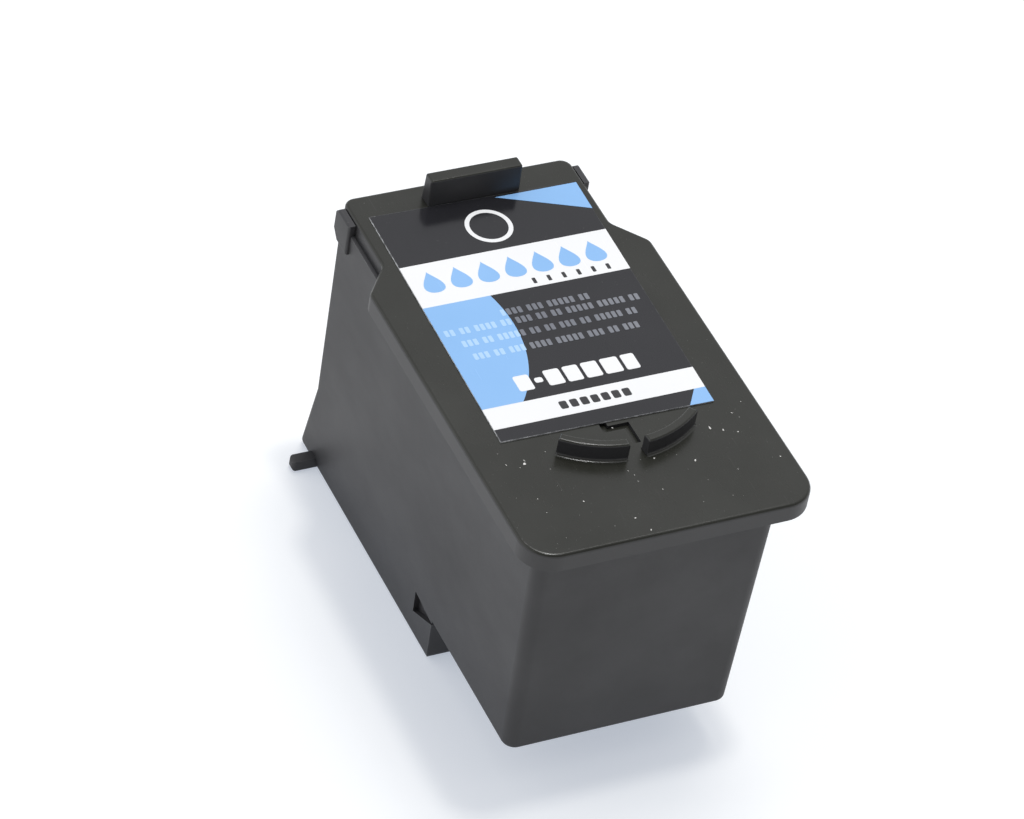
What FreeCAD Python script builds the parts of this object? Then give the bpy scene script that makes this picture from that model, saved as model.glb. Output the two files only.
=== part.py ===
"""Ink cartridge with its own print head, as a parametric document.

The cartridge stands on its head. X is its width, +Y points to the contact side at its rear, +Z is up,
and the origin is on the resting plane, under the middle of the overall width and depth.
"""
import FreeCAD
import Part
import Sketcher
import os

doc = FreeCAD.newDocument("InkCartridge")

# Driving dimensions in millimetres and degrees

SIZES = [
    ("tank_top_width", 30.4, "outside width of the tank at its rim"),
    ("tank_base_width", 28.2, "outside width at the bottom of the head, after the draft of the sides"),
    ("tank_depth", 56.9, "front wall to rear wall at the rim"),
    ("tank_height", 32.9, "underside of the tank to its rim"),
    ("tank_wall", 1.7, "thickness of the side and front walls"),
    ("tank_floor", 1.8, "thickness of the floor"),
    ("front_corner_radius", 1.6, "upright front corners of the tank"),
    ("rear_corner_radius", 0.8, "upright rear corners of the tank and its guards"),
    ("base_edge_radius", 0.6, "edge round the underside of the tank"),
    ("rear_spread", 0.65, "how far the rear wall spreads backwards on its way down to the guards"),
    ("guard_height", 11.5, "height at which the side guards start to flare"),
    ("guard_flare", 3.45, "how far the guards stand behind the rim"),
    ("head_drop", 6.2, "height of the head below the underside of the tank"),
    ("head_length", 34.8, "head front to contact land"),
    ("head_edge_radius", 0.9, "edges of the resting face"),
    ("head_wall", 2.2, "walls and floor round the hollows of the head"),
    ("relief_length", 4.8, "side relief behind the head front"),
    ("relief_height", 2.6, "side relief below the underside of the tank, at the relief's rear"),
    ("relief_rise", 0.7, "side relief above the underside of the tank, at the relief's rear"),
    ("relief_front_height", 0.3, "height of the side relief at the head front"),
    ("relief_depth", 0.8, "how deep the side relief is cut"),
    ("land_setback", 0.75, "contact land in front of the rear rim"),
    ("land_width", 22.4, "width of the recessed land for the wiring tape"),
    ("land_height", 27.0, "top of the contact land"),
    ("tape_recess", 0.35, "depth of the tape recess in the resting face"),
    ("recess_front_rim", 4.9, "plain rim in front of the tape recess"),
    ("ear_reach", 3.1, "how far each guide ear stands out from the side"),
    ("ear_height", 1.5, "height of the guide ears"),
    ("ear_depth", 1.4, "depth of the guide ears"),
    ("ear_lift", 0.15, "underside of the guide ears above the resting plane"),
    ("ear_behind_land", 0.4, "rear of the guide ears behind the contact land"),
    ("ear_radius", 0.5, "rounding of the outer end of each ear"),
    ("lug_proud", 0.4, "how far the rim lugs stand out from the side"),
    ("lug_behind", 0.4, "how far the rim lugs stand behind the rear wall"),
    ("lug_rise", 1.6, "how far the rim lugs rise beside the lid"),
    ("lug_drop", 2.7, "how far the rim lugs reach down from the rim"),
    ("lug_depth", 3.9, "depth of the rim lugs"),
    ("lug_foot_slant", 1.2, "slanted lower rear corner of each lug"),
    ("lug_top_slant", 0.7, "slanted upper rear corner of each lug"),
    ("lug_radius", 0.3, "rounded outer edges of the lugs"),
    ("lid_plate", 1.9, "thickness of the lid"),
    ("lid_lip", 0.5, "lip below the lid round its wide part"),
    ("front_overhang", 3.35, "lid front in front of the tank"),
    ("side_overhang", 2.8, "lid side beyond the tank rim in the wide part"),
    ("rear_overhang", 1.05, "lid rear behind the tank rim"),
    ("rear_inset", 0.55, "narrow part of the lid inside the tank rim"),
    ("wide_length", 45.2, "length of the wide part of the lid"),
    ("shoulder_run", 4.1, "length of the slanted shoulders"),
    ("lid_front_radius", 4.0, "front corners of the lid"),
    ("lid_rear_radius", 1.4, "rear corners of the lid"),
    ("shoulder_radius", 1.6, "rounding of the shoulders"),
    ("lid_edge_radius", 0.45, "top edge of the lid"),
    ("lid_seat_gap", 0.12, "clearance between the lip and the tank"),
    ("weld_rib_depth", 2.0, "locating rib below the lid, inside the tank"),
    ("weld_rib_width", 1.2, "thickness of the locating rib"),
    ("weld_rib_gap", 0.15, "clearance between the locating rib and the tank wall"),
    ("press_rib_depth", 3.0, "ribs below the lid that hold the absorber down"),
    ("press_rib_width", 1.2, "thickness of those ribs"),
    ("press_rib_pitch", 13.0, "spacing of those ribs"),
    ("latch_width", 11.8, "width of the latch tab"),
    ("latch_height", 3.7, "height of the latch tab above the lid"),
    ("latch_thickness", 2.2, "thickness of the latch tab at its foot"),
    ("latch_draft", 0.25, "slope of the latch tab's front and rear"),
    ("latch_from_rear", 1.85, "latch tab in front of the lid's rear edge"),
    ("latch_offset", 0.6, "middle of the latch tab right of the centre line"),
    ("latch_radius", 0.25, "rounded edges of the latch tab"),
    ("arc_outer_radius", 13.7, "outside of the two raised arcs"),
    ("arc_width", 1.15, "width of the arcs"),
    ("arc_height", 2.3, "height of the arcs"),
    ("arc_start", 5.0, "angle from the centre line to each arc"),
    ("arc_span", 34.5, "angle that each arc covers"),
    ("arc_edge_radius", 0.3, "rounded edges of the arcs"),
    ("arc_from_front", 25.5, "centre of the arcs behind the lid's front edge"),
    ("arc_offset", 0.4, "centre of the arcs right of the centre line"),
    ("groove_width", 0.9, "width of the vent groove"),
    ("groove_depth", 0.5, "depth of the vent groove"),
    ("vent_radius", 0.5, "vent hole through the lid"),
    ("label_width", 26.5, "width of the label"),
    ("label_to_latch", 0.15, "label's rear edge in front of the latch tab"),
    ("label_thickness", 0.15, "thickness of the label film"),
    ("label_from_front", 18.0, "label's front edge behind the lid's front edge"),
    ("label_turn", 1.0, "how far the label is cut askew of its print, in degrees"),
    ("print_thickness", 0.03, "thickness of a printed field"),
    ("front_band_start", 2.2, "front of the front white band, from the label's front edge"),
    ("front_band_length", 3.4, "length of the front white band"),
    ("rear_band_from_rear", 9.0, "rear white band in front of the label's rear edge"),
    ("rear_band_length", 7.1, "length of the rear white band"),
    ("blue_radius", 19.5, "radius of the blue field's rounded edge"),
    ("blue_centre_left", 23.5, "centre of that edge, left of the centre line"),
    ("blue_centre_start", 17.9, "centre of that edge, from the label's front edge"),
    ("wedge_width", 10.6, "width of the blue wedge at the label's rear"),
    ("wedge_length", 4.8, "length of the blue wedge on the label's right edge"),
    ("wedge_from_rear", 0.4, "blue wedge in front of the label's rear edge"),
    ("corner_patch_width", 3.0, "width of the blue patch at the front right corner"),
    ("corner_patch_slant", 1.6, "how much narrower that patch is at the band"),
    ("ring_radius", 2.6, "middle radius of the printed ring"),
    ("ring_width", 0.55, "line width of the printed ring"),
    ("ring_from_rear", 4.9, "middle of the printed ring in front of the label's rear edge"),
    ("ring_offset", 0.2, "middle of the printed ring right of the centre line"),
    ("absorber_gap", 0.15, "absorber to the tank walls"),
    ("absorber_radius", 1.5, "upright edges of the absorber"),
    ("filter_width", 9.0, "width of the filter"),
    ("filter_length", 14.0, "length of the filter"),
    ("filter_thickness", 0.2, "thickness of the filter mesh"),
    ("filter_rise", 0.6, "top of the filter above the tank floor"),
    ("filter_seat", 1.2, "ledge that the filter is welded to"),
    ("stem_wall", 2.0, "wall of the stem that carries the filter"),
    ("channel_width", 1.2, "width of the ink channel at the chip"),
    ("chip_width", 2.6, "width of the silicon chip"),
    ("chip_length", 15.6, "length of the silicon chip"),
    ("chip_thickness", 0.62, "thickness of the silicon chip"),
    ("chip_glue", 0.05, "bond line between the chip and the head"),
    ("chip_margin", 0.45, "room round the chip in its pocket"),
    ("chip_from_land", 17.0, "middle of the chip in front of the contact land"),
    ("nozzle_layer", 0.08, "thickness of the nozzle layer on the chip"),
    ("ink_slot_width", 0.6, "width of the ink slot through the chip"),
    ("ink_slot_length", 12.8, "length of the ink slot through the chip"),
    ("tape_thickness", 0.12, "thickness of the wiring tape"),
    ("tape_margin", 1.0, "edges of the recess beyond the wiring tape"),
    ("tape_side", 1.6, "tape in front of the chip's pocket"),
    ("tape_bend", 0.9, "inside radius where the tape turns up"),
    ("tape_top", 25.5, "top of the wiring tape"),
    ("lead_window", 1.3, "tape window beyond each end of the chip's pocket"),
    ("bead_width", 4.2, "width of each bead over the leads"),
    ("bead_length", 2.4, "length of each bead over the leads"),
    ("bead_overlap", 0.35, "how far each bead reaches over the end of the chip"),
    ("bead_height", 0.2, "bead below the tape's surface"),
    ("pad_width", 1.5, "width of a contact pad"),
    ("pad_height", 2.1, "height of a contact pad"),
    ("pad_thickness", 0.03, "thickness of a contact pad"),
    ("pad_to_tape_edge", 1.4, "tape's edge beyond the outer pads"),
    ("pad_pitch_up", 3.0, "contact pads, row to row"),
    ("pad_field_middle", 16.6, "height of the middle of the contact pads"),
]
# the vent groove's turns, as places across the lid and behind the label's front edge
GROOVE_TURNS = [(3, 12), (-6, 12), (-6, 9), (5, 9), (5, 6), (-1.1, 6), (-1.1, -1), (1.5, -1), (1.5, -3.5)]
PAD_COLUMNS = 8
PAD_ROWS = 4
PRESS_RIBS = 3

sheet = doc.addObject("Spreadsheet::Sheet", "Sizes")
for row, (alias, size, meaning) in enumerate(SIZES, start=1):
    sheet.set(f"A{row}", alias)
    sheet.set(f"B{row}", str(size))
    sheet.set(f"C{row}", meaning)
    sheet.setAlias(f"B{row}", alias)
doc.recompute()


def of(*names):
    """The sum of some driving dimensions, as an expression; a leading minus takes one away."""
    parts = []
    for name in names:
        sign = "-" if name.startswith("-") else "+"
        parts.append(f"{sign} Sizes.{name.lstrip('-')}")
    return "(0 " + " ".join(parts) + ")"


# Places that follow from the driving dimensions: along Y from front to rear, then along Z from the bottom

# the guards lean, so the rounding at their foot takes a little off the overall depth
GUARD_LEAN = "((Sizes.guard_flare - Sizes.rear_spread) / Sizes.guard_height)"
HEEL_LOSS = f"(Sizes.head_edge_radius * ({GUARD_LEAN} + sqrt(1 + {GUARD_LEAN} ^ 2) - 1))"
LID_FRONT = f"(-({of('front_overhang', 'tank_depth', 'guard_flare')} - {HEEL_LOSS}) / 2)"
TANK_FRONT = f"({LID_FRONT} + Sizes.front_overhang)"
TANK_REAR = f"({TANK_FRONT} + Sizes.tank_depth)"
REAR_FOOT = f"({TANK_REAR} + Sizes.rear_spread)"
LID_REAR = f"({TANK_REAR} + Sizes.rear_overhang)"
GUARD_REAR = f"({TANK_REAR} + Sizes.guard_flare)"
LAND = f"({TANK_REAR} - Sizes.land_setback)"
HEAD_FRONT = f"({LAND} - Sizes.head_length)"
RELIEF_REAR = f"({HEAD_FRONT} + Sizes.relief_length)"
RECESS_FRONT = f"({HEAD_FRONT} + Sizes.recess_front_rim)"
CHIP_MIDDLE = f"({LAND} - Sizes.chip_from_land)"
CAVITY_FRONT = f"({TANK_FRONT} + Sizes.tank_wall)"
CAVITY_REAR = f"({LAND} - Sizes.tank_wall)"
UNDERSIDE = "Sizes.head_drop"
FLOOR = f"({UNDERSIDE} + Sizes.tank_floor)"
FILTER_TOP = f"({FLOOR} + Sizes.filter_rise)"
FILTER_BASE = f"({FILTER_TOP} - Sizes.filter_thickness)"
RIM = f"({UNDERSIDE} + Sizes.tank_height)"
LID_TOP = f"({RIM} + Sizes.lid_plate)"
LABEL_TOP = f"({LID_TOP} + Sizes.label_thickness)"
STEM_HALF_WIDTH = "(Sizes.filter_width / 2 + Sizes.filter_seat)"
STEM_HALF_LENGTH = "(Sizes.filter_length / 2 + Sizes.filter_seat + Sizes.stem_wall)"
STEM_FRONT = f"({CHIP_MIDDLE} - {STEM_HALF_LENGTH})"
STEM_REAR = f"({CHIP_MIDDLE} + {STEM_HALF_LENGTH})"
PRESS_LEVEL = f"({RIM} - Sizes.press_rib_depth)"
TAPE_FACE = "(Sizes.tape_recess - Sizes.tape_thickness)"
POCKET_ROOF = f"({TAPE_FACE} + Sizes.nozzle_layer + Sizes.chip_thickness + Sizes.chip_glue)"
POCKET_HALF_LENGTH = "(Sizes.chip_length / 2 + Sizes.chip_margin)"
POCKET_HALF_WIDTH = "(Sizes.chip_width / 2 + Sizes.chip_margin)"
HALF_TOP = "(Sizes.tank_top_width / 2)"
HALF_BASE = "(Sizes.tank_base_width / 2)"
NARROW_HALF = f"({HALF_TOP} - Sizes.rear_inset)"
SIDE_SLOPE = f"(({HALF_TOP} - {HALF_BASE}) / {RIM})"
LATCH_REAR = f"({LID_REAR} - Sizes.latch_from_rear)"
LATCH_FRONT = f"({LATCH_REAR} - Sizes.latch_thickness)"
LABEL_FRONT = f"({LID_FRONT} + Sizes.label_from_front)"
LABEL_REAR = f"({LATCH_FRONT} - Sizes.label_to_latch)"
LABEL_HALF_LENGTH = f"(({LABEL_REAR} - {LABEL_FRONT}) / 2)"
LABEL_MIDDLE = f"(({LABEL_FRONT} + {LABEL_REAR}) / 2)"
LABEL_HALF = "(Sizes.label_width / 2)"
FRONT_BAND = f"({LABEL_FRONT} + Sizes.front_band_start)"
REAR_BAND = f"({LABEL_REAR} - Sizes.rear_band_from_rear - Sizes.rear_band_length)"
TAPE_WIDTH = "(Sizes.land_width - 2 * Sizes.tape_margin)"
PAD_PITCH = f"(({TAPE_WIDTH} - 2 * Sizes.pad_to_tape_edge - Sizes.pad_width) / {PAD_COLUMNS - 1})"
# how far a raised feature starts inside what carries it, how far a cut runs past what it cuts, and how far
# a loft's ends stand outside the faces that they break through
SUNK = "0.5"
BEYOND = "20"
SKIN = "0.01"
# smallest volume in cubic millimetres that a cut has to take away
LEAST_CUT = 1e-6


def value(expression):
    """The number that an expression over the sheet comes to."""
    return float(sheet.evalExpression(expression))


def half_width(height, inside="0"):
    """Half the tank's width at a height, less the distance inside its drafted side."""
    return f"({HALF_BASE} + {SIDE_SLOPE} * {height} - ({inside}))"


def new_body(label):
    body = doc.addObject("PartDesign::Body", label)
    body.Label = label
    return body


def origin_plane(body, role):
    return [item for item in body.Origin.OriginFeatures if item.Role == role][0]


def sketch_on(body, name, role, offset=None):
    """An empty sketch on an origin plane, moved along the plane's normal by an expression."""
    sketch = body.newObject("Sketcher::SketchObject", name)
    sketch.AttachmentSupport = (origin_plane(body, role), [""])
    sketch.MapMode = "FlatFace"
    if offset is not None:
        sketch.setExpression(".AttachmentOffset.Base.z", offset)
    return sketch


def add_loop(sketch, corners):
    """A closed loop of straight lines whose corners are pairs of expressions."""
    first = sketch.GeometryCount
    points = [FreeCAD.Vector(value(across), value(up), 0) for across, up in corners]
    count = len(points)
    for index in range(count):
        sketch.addGeometry(Part.LineSegment(points[index], points[(index + 1) % count]), False)
    for index in range(count):
        follower = first + (index + 1) % count
        sketch.addConstraint(Sketcher.Constraint("Coincident", first + index, 2, follower, 1))
    for index, (across, up) in enumerate(corners):
        line = first + index
        place = points[index]
        across_rule = sketch.addConstraint(Sketcher.Constraint("DistanceX", -1, 1, line, 1, place.x))
        sketch.setExpression(f"Constraints[{across_rule}]", across)
        up_rule = sketch.addConstraint(Sketcher.Constraint("DistanceY", -1, 1, line, 1, place.y))
        sketch.setExpression(f"Constraints[{up_rule}]", up)


def outline(body, name, role, corners, offset=None):
    sketch = sketch_on(body, name, role, offset)
    add_loop(sketch, corners)
    return sketch


def box_corners(left, right, low, high):
    return [(left, low), (right, low), (right, high), (left, high)]


def feature(body, kind, name, sketch, length=None, symmetric=False, downwards=False, through=False):
    """A pad or pocket of a sketch; the new solid is checked as soon as it is made."""
    item = body.newObject(kind, name)
    item.Profile = sketch
    if symmetric:
        item.SideType = "Symmetric"
    if through:
        item.Type = "ThroughAll"
    else:
        item.setExpression("Length", length)
    item.Reversed = downwards
    sketch.Visibility = False
    doc.recompute()
    return item


def pad(body, name, sketch, length, **options):
    return feature(body, "PartDesign::Pad", name, sketch, length, **options)


def pocket(body, name, sketch, length=None, **options):
    """A pocket, which has to take some material away."""
    before = body.Shape.Volume
    item = feature(body, "PartDesign::Pocket", name, sketch, length, **options)
    if body.Shape.Volume > before - LEAST_CUT:
        raise RuntimeError(f"{name} cuts nothing")
    return item


def rounded(body, name, radius, test):
    """Rounds the edges of the body's last feature that the test accepts."""
    base = body.Tip
    chosen = []
    for number, edge in enumerate(base.Shape.Edges, start=1):
        if test(edge):
            chosen.append(f"Edge{number}")
    if not chosen:
        raise RuntimeError(f"{name} finds no edge")
    item = body.newObject("PartDesign::Fillet", name)
    item.Base = (base, chosen)
    item.setExpression("Radius", radius)
    doc.recompute()
    return item


def close(one, other, slack=1e-3):
    return abs(one - other) < slack


def is_upright(edge, lean=0.5):
    """An edge that runs up, or nearly so where the side has draft."""
    if len(edge.Vertexes) != 2:
        return False
    run = edge.Vertexes[1].Point - edge.Vertexes[0].Point
    return abs(run.z) > 1e-6 and (run.x ** 2 + run.y ** 2) ** 0.5 < lean * abs(run.z)


def lies_at(edge, height):
    box = edge.BoundBox
    return close(box.ZMin, height) and close(box.ZMax, height)


# Tank: drafted sides, hollow, with the head below its rear part and the guards behind it

def side_slabs(body, name, inside="0"):
    """Cuts both sides of a body to the tank's draft, a distance inside the tank's own sides."""
    low = f"(-{BEYOND})"
    high = f"({LID_TOP} + {BEYOND})"
    for side, sign in (("left", "-1"), ("right", "1")):
        corners = [
            (f"{sign} * {half_width(low, inside)}", low),
            (f"{sign} * ({HALF_TOP} + {BEYOND})", low),
            (f"{sign} * ({HALF_TOP} + {BEYOND})", high),
            (f"{sign} * {half_width(high, inside)}", high),
        ]
        sketch = outline(body, f"{name}_{side}", "XZ_Plane", corners)
        pocket(body, f"{name}_{side}_cut", sketch, f"2 * ({TANK_REAR} + {BEYOND})", symmetric=True)


def make_tank():
    body = new_body("tank_body")
    profile = [
        (TANK_FRONT, UNDERSIDE),
        (HEAD_FRONT, UNDERSIDE),
        (HEAD_FRONT, "0"),
        (GUARD_REAR, "0"),
        (REAR_FOOT, "Sizes.guard_height"),
        (TANK_REAR, RIM),
        (TANK_FRONT, RIM),
    ]
    side_view = outline(body, "tank_side_view", "YZ_Plane", profile)
    pad(body, "tank_block", side_view, f"2 * ({HALF_TOP} + {BEYOND})", symmetric=True)
    side_slabs(body, "tank_draft")
    front = value(TANK_FRONT)
    rear = value(TANK_REAR)
    underside = value(UNDERSIDE)

    def front_corner(edge):
        return is_upright(edge) and close(edge.BoundBox.YMin, front) and close(edge.BoundBox.YMax, front)

    def rear_corner(edge):
        return is_upright(edge) and edge.BoundBox.YMin > rear - 1e-3

    rounded(body, "tank_front_corners", "Sizes.front_corner_radius", front_corner)
    rounded(body, "tank_rear_corners", "Sizes.rear_corner_radius", rear_corner)

    def front_foot(edge):
        box = edge.BoundBox
        return lies_at(edge, underside) and close(box.YMin, front) and close(box.YMax, front)

    rounded(body, "tank_underside_edge", "Sizes.base_edge_radius", front_foot)
    rounded(body, "head_edges", "Sizes.head_edge_radius", lambda edge: lies_at(edge, 0))
    cut_tank_land(body)
    cut_tank_hollow(body)
    add_tank_ears(body)
    add_rim_lugs(body)
    return body


def cut_tank_land(body):
    """The recess for the wiring tape: up the rear between the guards, and below the head."""
    half = "Sizes.land_width / 2"
    behind = [
        (LAND, f"-{BEYOND}"),
        (f"({GUARD_REAR} + {BEYOND})", f"-{BEYOND}"),
        (f"({GUARD_REAR} + {BEYOND})", "Sizes.land_height"),
        (LAND, "Sizes.land_height"),
    ]
    land = outline(body, "land_side_view", "YZ_Plane", behind)
    pocket(body, "contact_land", land, "Sizes.land_width", symmetric=True)
    below = outline(body, "recess_plan", "XY_Plane",
                    box_corners(f"-{half}", half, RECESS_FRONT, f"({LAND} + {BEYOND})"))
    pocket(body, "tape_recess_cut", below, "Sizes.tape_recess", downwards=True)
    turn = [
        (f"({LAND} - Sizes.tape_bend)", "Sizes.tape_recess"),
        (f"({LAND} + {BEYOND})", "Sizes.tape_recess"),
        (f"({LAND} + {BEYOND})", f"(Sizes.tape_recess + Sizes.tape_bend + {BEYOND})"),
        (LAND, "(Sizes.tape_recess + Sizes.tape_bend)"),
    ]
    bend = outline(body, "bend_side_view", "YZ_Plane", turn)
    pocket(body, "bend_relief", bend, "Sizes.land_width", symmetric=True)
    for side, sign in (("left", "-1"), ("right", "1")):
        corners = [
            (RELIEF_REAR, f"({UNDERSIDE} + Sizes.relief_rise)"),
            (RELIEF_REAR, f"({UNDERSIDE} - Sizes.relief_height)"),
            (HEAD_FRONT, f"({UNDERSIDE} - Sizes.relief_front_height)"),
            (HEAD_FRONT, UNDERSIDE),
        ]
        inner = f"{sign} * {half_width(UNDERSIDE, 'Sizes.relief_depth')}"
        sketch = outline(body, f"relief_{side}_view", "YZ_Plane", corners, inner)
        pocket(body, f"relief_{side}", sketch, BEYOND, downwards=(side == "right"))


def cut_tank_hollow(body):
    """The absorber's chamber, the hollows beside the ink stem, the ink channel and the chip's pocket."""
    cavity = new_body("tank_cavity_tool")
    plan = outline(cavity, "cavity_plan", "XY_Plane",
                   box_corners(f"-{HALF_TOP}", HALF_TOP, CAVITY_FRONT, CAVITY_REAR), FLOOR)
    pad(cavity, "cavity_block", plan, f"({RIM} - {FLOOR} + {BEYOND})")
    side_slabs(cavity, "cavity_draft", "Sizes.tank_wall")
    rounded(cavity, "cavity_corners", "Sizes.absorber_radius", is_upright)
    cut_with(body, "cavity_cut", cavity)

    side_edge = half_width("Sizes.head_wall", "Sizes.head_wall")
    hollow_rear = f"({LAND} - Sizes.head_wall)"
    hollow_front = f"({HEAD_FRONT} + Sizes.head_wall)"
    inner_side = half_width(UNDERSIDE, "Sizes.relief_depth + Sizes.head_wall")
    hollows = [
        (f"-{inner_side}", inner_side, hollow_front, f"({STEM_FRONT} - Sizes.stem_wall)"),
        (f"-{side_edge}", side_edge, f"({STEM_REAR} + Sizes.stem_wall)", hollow_rear),
        (f"-{side_edge}", f"(-{STEM_HALF_WIDTH} - Sizes.stem_wall)", STEM_FRONT, STEM_REAR),
        (f"({STEM_HALF_WIDTH} + Sizes.stem_wall)", side_edge, STEM_FRONT, STEM_REAR),
    ]
    plan = sketch_on(body, "hollows_plan", "XY_Plane", FLOOR)
    for left, right, low, high in hollows:
        add_loop(plan, box_corners(left, right, low, high))
    pocket(body, "head_hollows", plan, f"({FLOOR} - Sizes.head_wall)")

    stem = outline(body, "stem_plan", "XY_Plane",
                   box_corners(f"(-{STEM_HALF_WIDTH})", STEM_HALF_WIDTH, STEM_FRONT, STEM_REAR),
                   f"({FLOOR} - {SUNK})")
    pad(body, "filter_stem", stem, f"({FILTER_BASE} - {FLOOR} + {SUNK})")
    cut_ink_channel(body)


def cut_ink_channel(body):
    """A funnel from the filter down to the slot behind the chip, then the pocket that the chip sits in."""
    pocket_plan = outline(body, "chip_pocket_plan", "XY_Plane",
                          box_corners(f"-{POCKET_HALF_WIDTH}", POCKET_HALF_WIDTH,
                                      f"({CHIP_MIDDLE} - {POCKET_HALF_LENGTH})",
                                      f"({CHIP_MIDDLE} + {POCKET_HALF_LENGTH})"))
    pocket(body, "chip_pocket", pocket_plan, POCKET_ROOF, downwards=True)
    top = outline(body, "channel_top", "XY_Plane",
                  box_corners("-Sizes.filter_width / 2", "Sizes.filter_width / 2",
                              f"({CHIP_MIDDLE} - Sizes.filter_length / 2)",
                              f"({CHIP_MIDDLE} + Sizes.filter_length / 2)"), f"({FILTER_BASE} + {SKIN})")
    foot = outline(body, "channel_foot", "XY_Plane",
                   box_corners("-Sizes.channel_width / 2", "Sizes.channel_width / 2",
                               f"({CHIP_MIDDLE} - Sizes.ink_slot_length / 2)",
                               f"({CHIP_MIDDLE} + Sizes.ink_slot_length / 2)"), f"({POCKET_ROOF} - {SKIN})")
    before = body.Shape.Volume
    funnel = body.newObject("PartDesign::SubtractiveLoft", "ink_channel")
    funnel.Profile = top
    funnel.Sections = [foot]
    funnel.Ruled = True
    doc.recompute()
    if body.Shape.Volume > before - LEAST_CUT:
        raise RuntimeError("the ink channel cuts nothing")


def cut_with(body, name, tool):
    """Takes a tool body away from a body."""
    before = body.Shape.Volume
    item = body.newObject("PartDesign::Boolean", name)
    item.Type = "Cut"
    item.setObjects([tool])
    doc.recompute()
    if body.Shape.Volume > before - LEAST_CUT:
        raise RuntimeError(f"{name} cuts nothing")


def add_tank_ears(body):
    """Guide ears that stand out at the rear of the head, and the small round at their outer ends."""
    ear_rear = f"({LAND} + Sizes.ear_behind_land)"
    ear_front = f"({ear_rear} - Sizes.ear_depth)"
    tip = f"({HALF_BASE} + Sizes.ear_reach)"
    root = f"({HALF_BASE} - Sizes.head_edge_radius)"
    for side, left, right in (("left", f"-{tip}", f"-{root}"), ("right", root, tip)):
        sketch = outline(body, f"ear_{side}_plan", "XY_Plane",
                         box_corners(left, right, ear_front, ear_rear), "Sizes.ear_lift")
        pad(body, f"ear_{side}", sketch, "Sizes.ear_height")
    reach = value(tip)

    def ear_end(edge):
        box = edge.BoundBox
        return close(max(abs(box.XMin), abs(box.XMax)), reach) and close(box.XMin, box.XMax)

    rounded(body, "ear_ends", "Sizes.ear_radius", ear_end)


def add_rim_lugs(body):
    """Small lugs at the rear corners of the rim, which hold the narrow part of the lid between them."""
    lug_rear = f"({TANK_REAR} + Sizes.lug_behind)"
    lug_front = f"({lug_rear} - Sizes.lug_depth)"
    foot = f"({RIM} - Sizes.lug_drop)"
    top = f"({RIM} + Sizes.lug_rise)"
    inside = f"({NARROW_HALF} + Sizes.lid_seat_gap)"
    for side, sign in (("left", "-1"), ("right", "1")):
        corners = [
            (lug_front, foot),
            (f"({lug_rear} - Sizes.lug_foot_slant)", foot),
            (lug_rear, f"({foot} + Sizes.lug_foot_slant)"),
            (lug_rear, f"({top} - Sizes.lug_top_slant)"),
            (f"({lug_rear} - Sizes.lug_top_slant)", top),
            (lug_front, top),
        ]
        sketch = outline(body, f"lug_{side}_view", "YZ_Plane", corners, f"{sign} * {inside}")
        pad(body, f"lug_{side}", sketch, f"({HALF_TOP} + Sizes.lug_proud - {inside})",
            downwards=(side == "left"))
    reach = value(f"({HALF_TOP} + Sizes.lug_proud)")

    def lug_edge(edge):
        box = edge.BoundBox
        return close(max(abs(box.XMin), abs(box.XMax)), reach) and close(box.XMin, box.XMax)

    rounded(body, "lug_edges", "Sizes.lug_radius", lug_edge)


# Lid: a plate with a lip, a latch tab, two raised arcs and the vent groove

def lid_outline():
    wide = f"({HALF_TOP} + Sizes.side_overhang)"
    narrow = NARROW_HALF
    shoulder = f"({LID_FRONT} + Sizes.wide_length)"
    neck = f"({shoulder} + Sizes.shoulder_run)"
    return [
        (f"-{wide}", LID_FRONT), (wide, LID_FRONT), (wide, shoulder), (narrow, neck), (narrow, LID_REAR),
        (f"-{narrow}", LID_REAR), (f"-{narrow}", neck), (f"-{wide}", shoulder),
    ]


def make_lid():
    body = new_body("tank_lid")
    plate = outline(body, "lid_plan", "XY_Plane", lid_outline(), f"({RIM} - Sizes.lid_lip)")
    pad(body, "lid_plate_pad", plate, "(Sizes.lid_plate + Sizes.lid_lip)")
    shoulder = f"({LID_FRONT} + Sizes.wide_length)"
    front = value(LID_FRONT)
    rear = value(LID_REAR)
    shoulder_y = value(shoulder)
    neck_y = value(f"({shoulder} + Sizes.shoulder_run)")
    top = value(LID_TOP)
    rounded(body, "lid_front_corners", "Sizes.lid_front_radius",
            lambda edge: is_upright(edge) and close(edge.BoundBox.YMin, front))
    rounded(body, "lid_rear_corners", "Sizes.lid_rear_radius",
            lambda edge: is_upright(edge) and close(edge.BoundBox.YMin, rear))
    rounded(body, "lid_shoulders", "Sizes.shoulder_radius",
            lambda edge: is_upright(edge) and (close(edge.BoundBox.YMin, shoulder_y)
                                               or close(edge.BoundBox.YMin, neck_y)))
    rounded(body, "lid_top_edge", "Sizes.lid_edge_radius", lambda edge: lies_at(edge, top))
    seat_half = half_width(RIM, "0 - Sizes.lid_seat_gap")
    seat = outline(body, "seat_plan", "XY_Plane",
                   box_corners(f"-{seat_half}", seat_half, f"({TANK_FRONT} - Sizes.lid_seat_gap)",
                               f"({LID_REAR} + {BEYOND})"), f"({RIM} - Sizes.lid_lip)")
    pocket(body, "lid_seat", seat, "Sizes.lid_lip", downwards=True)
    add_lid_ribs(body)
    add_latch(body)
    add_raised_arcs(body)
    cut_vent(body)
    return body


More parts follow.
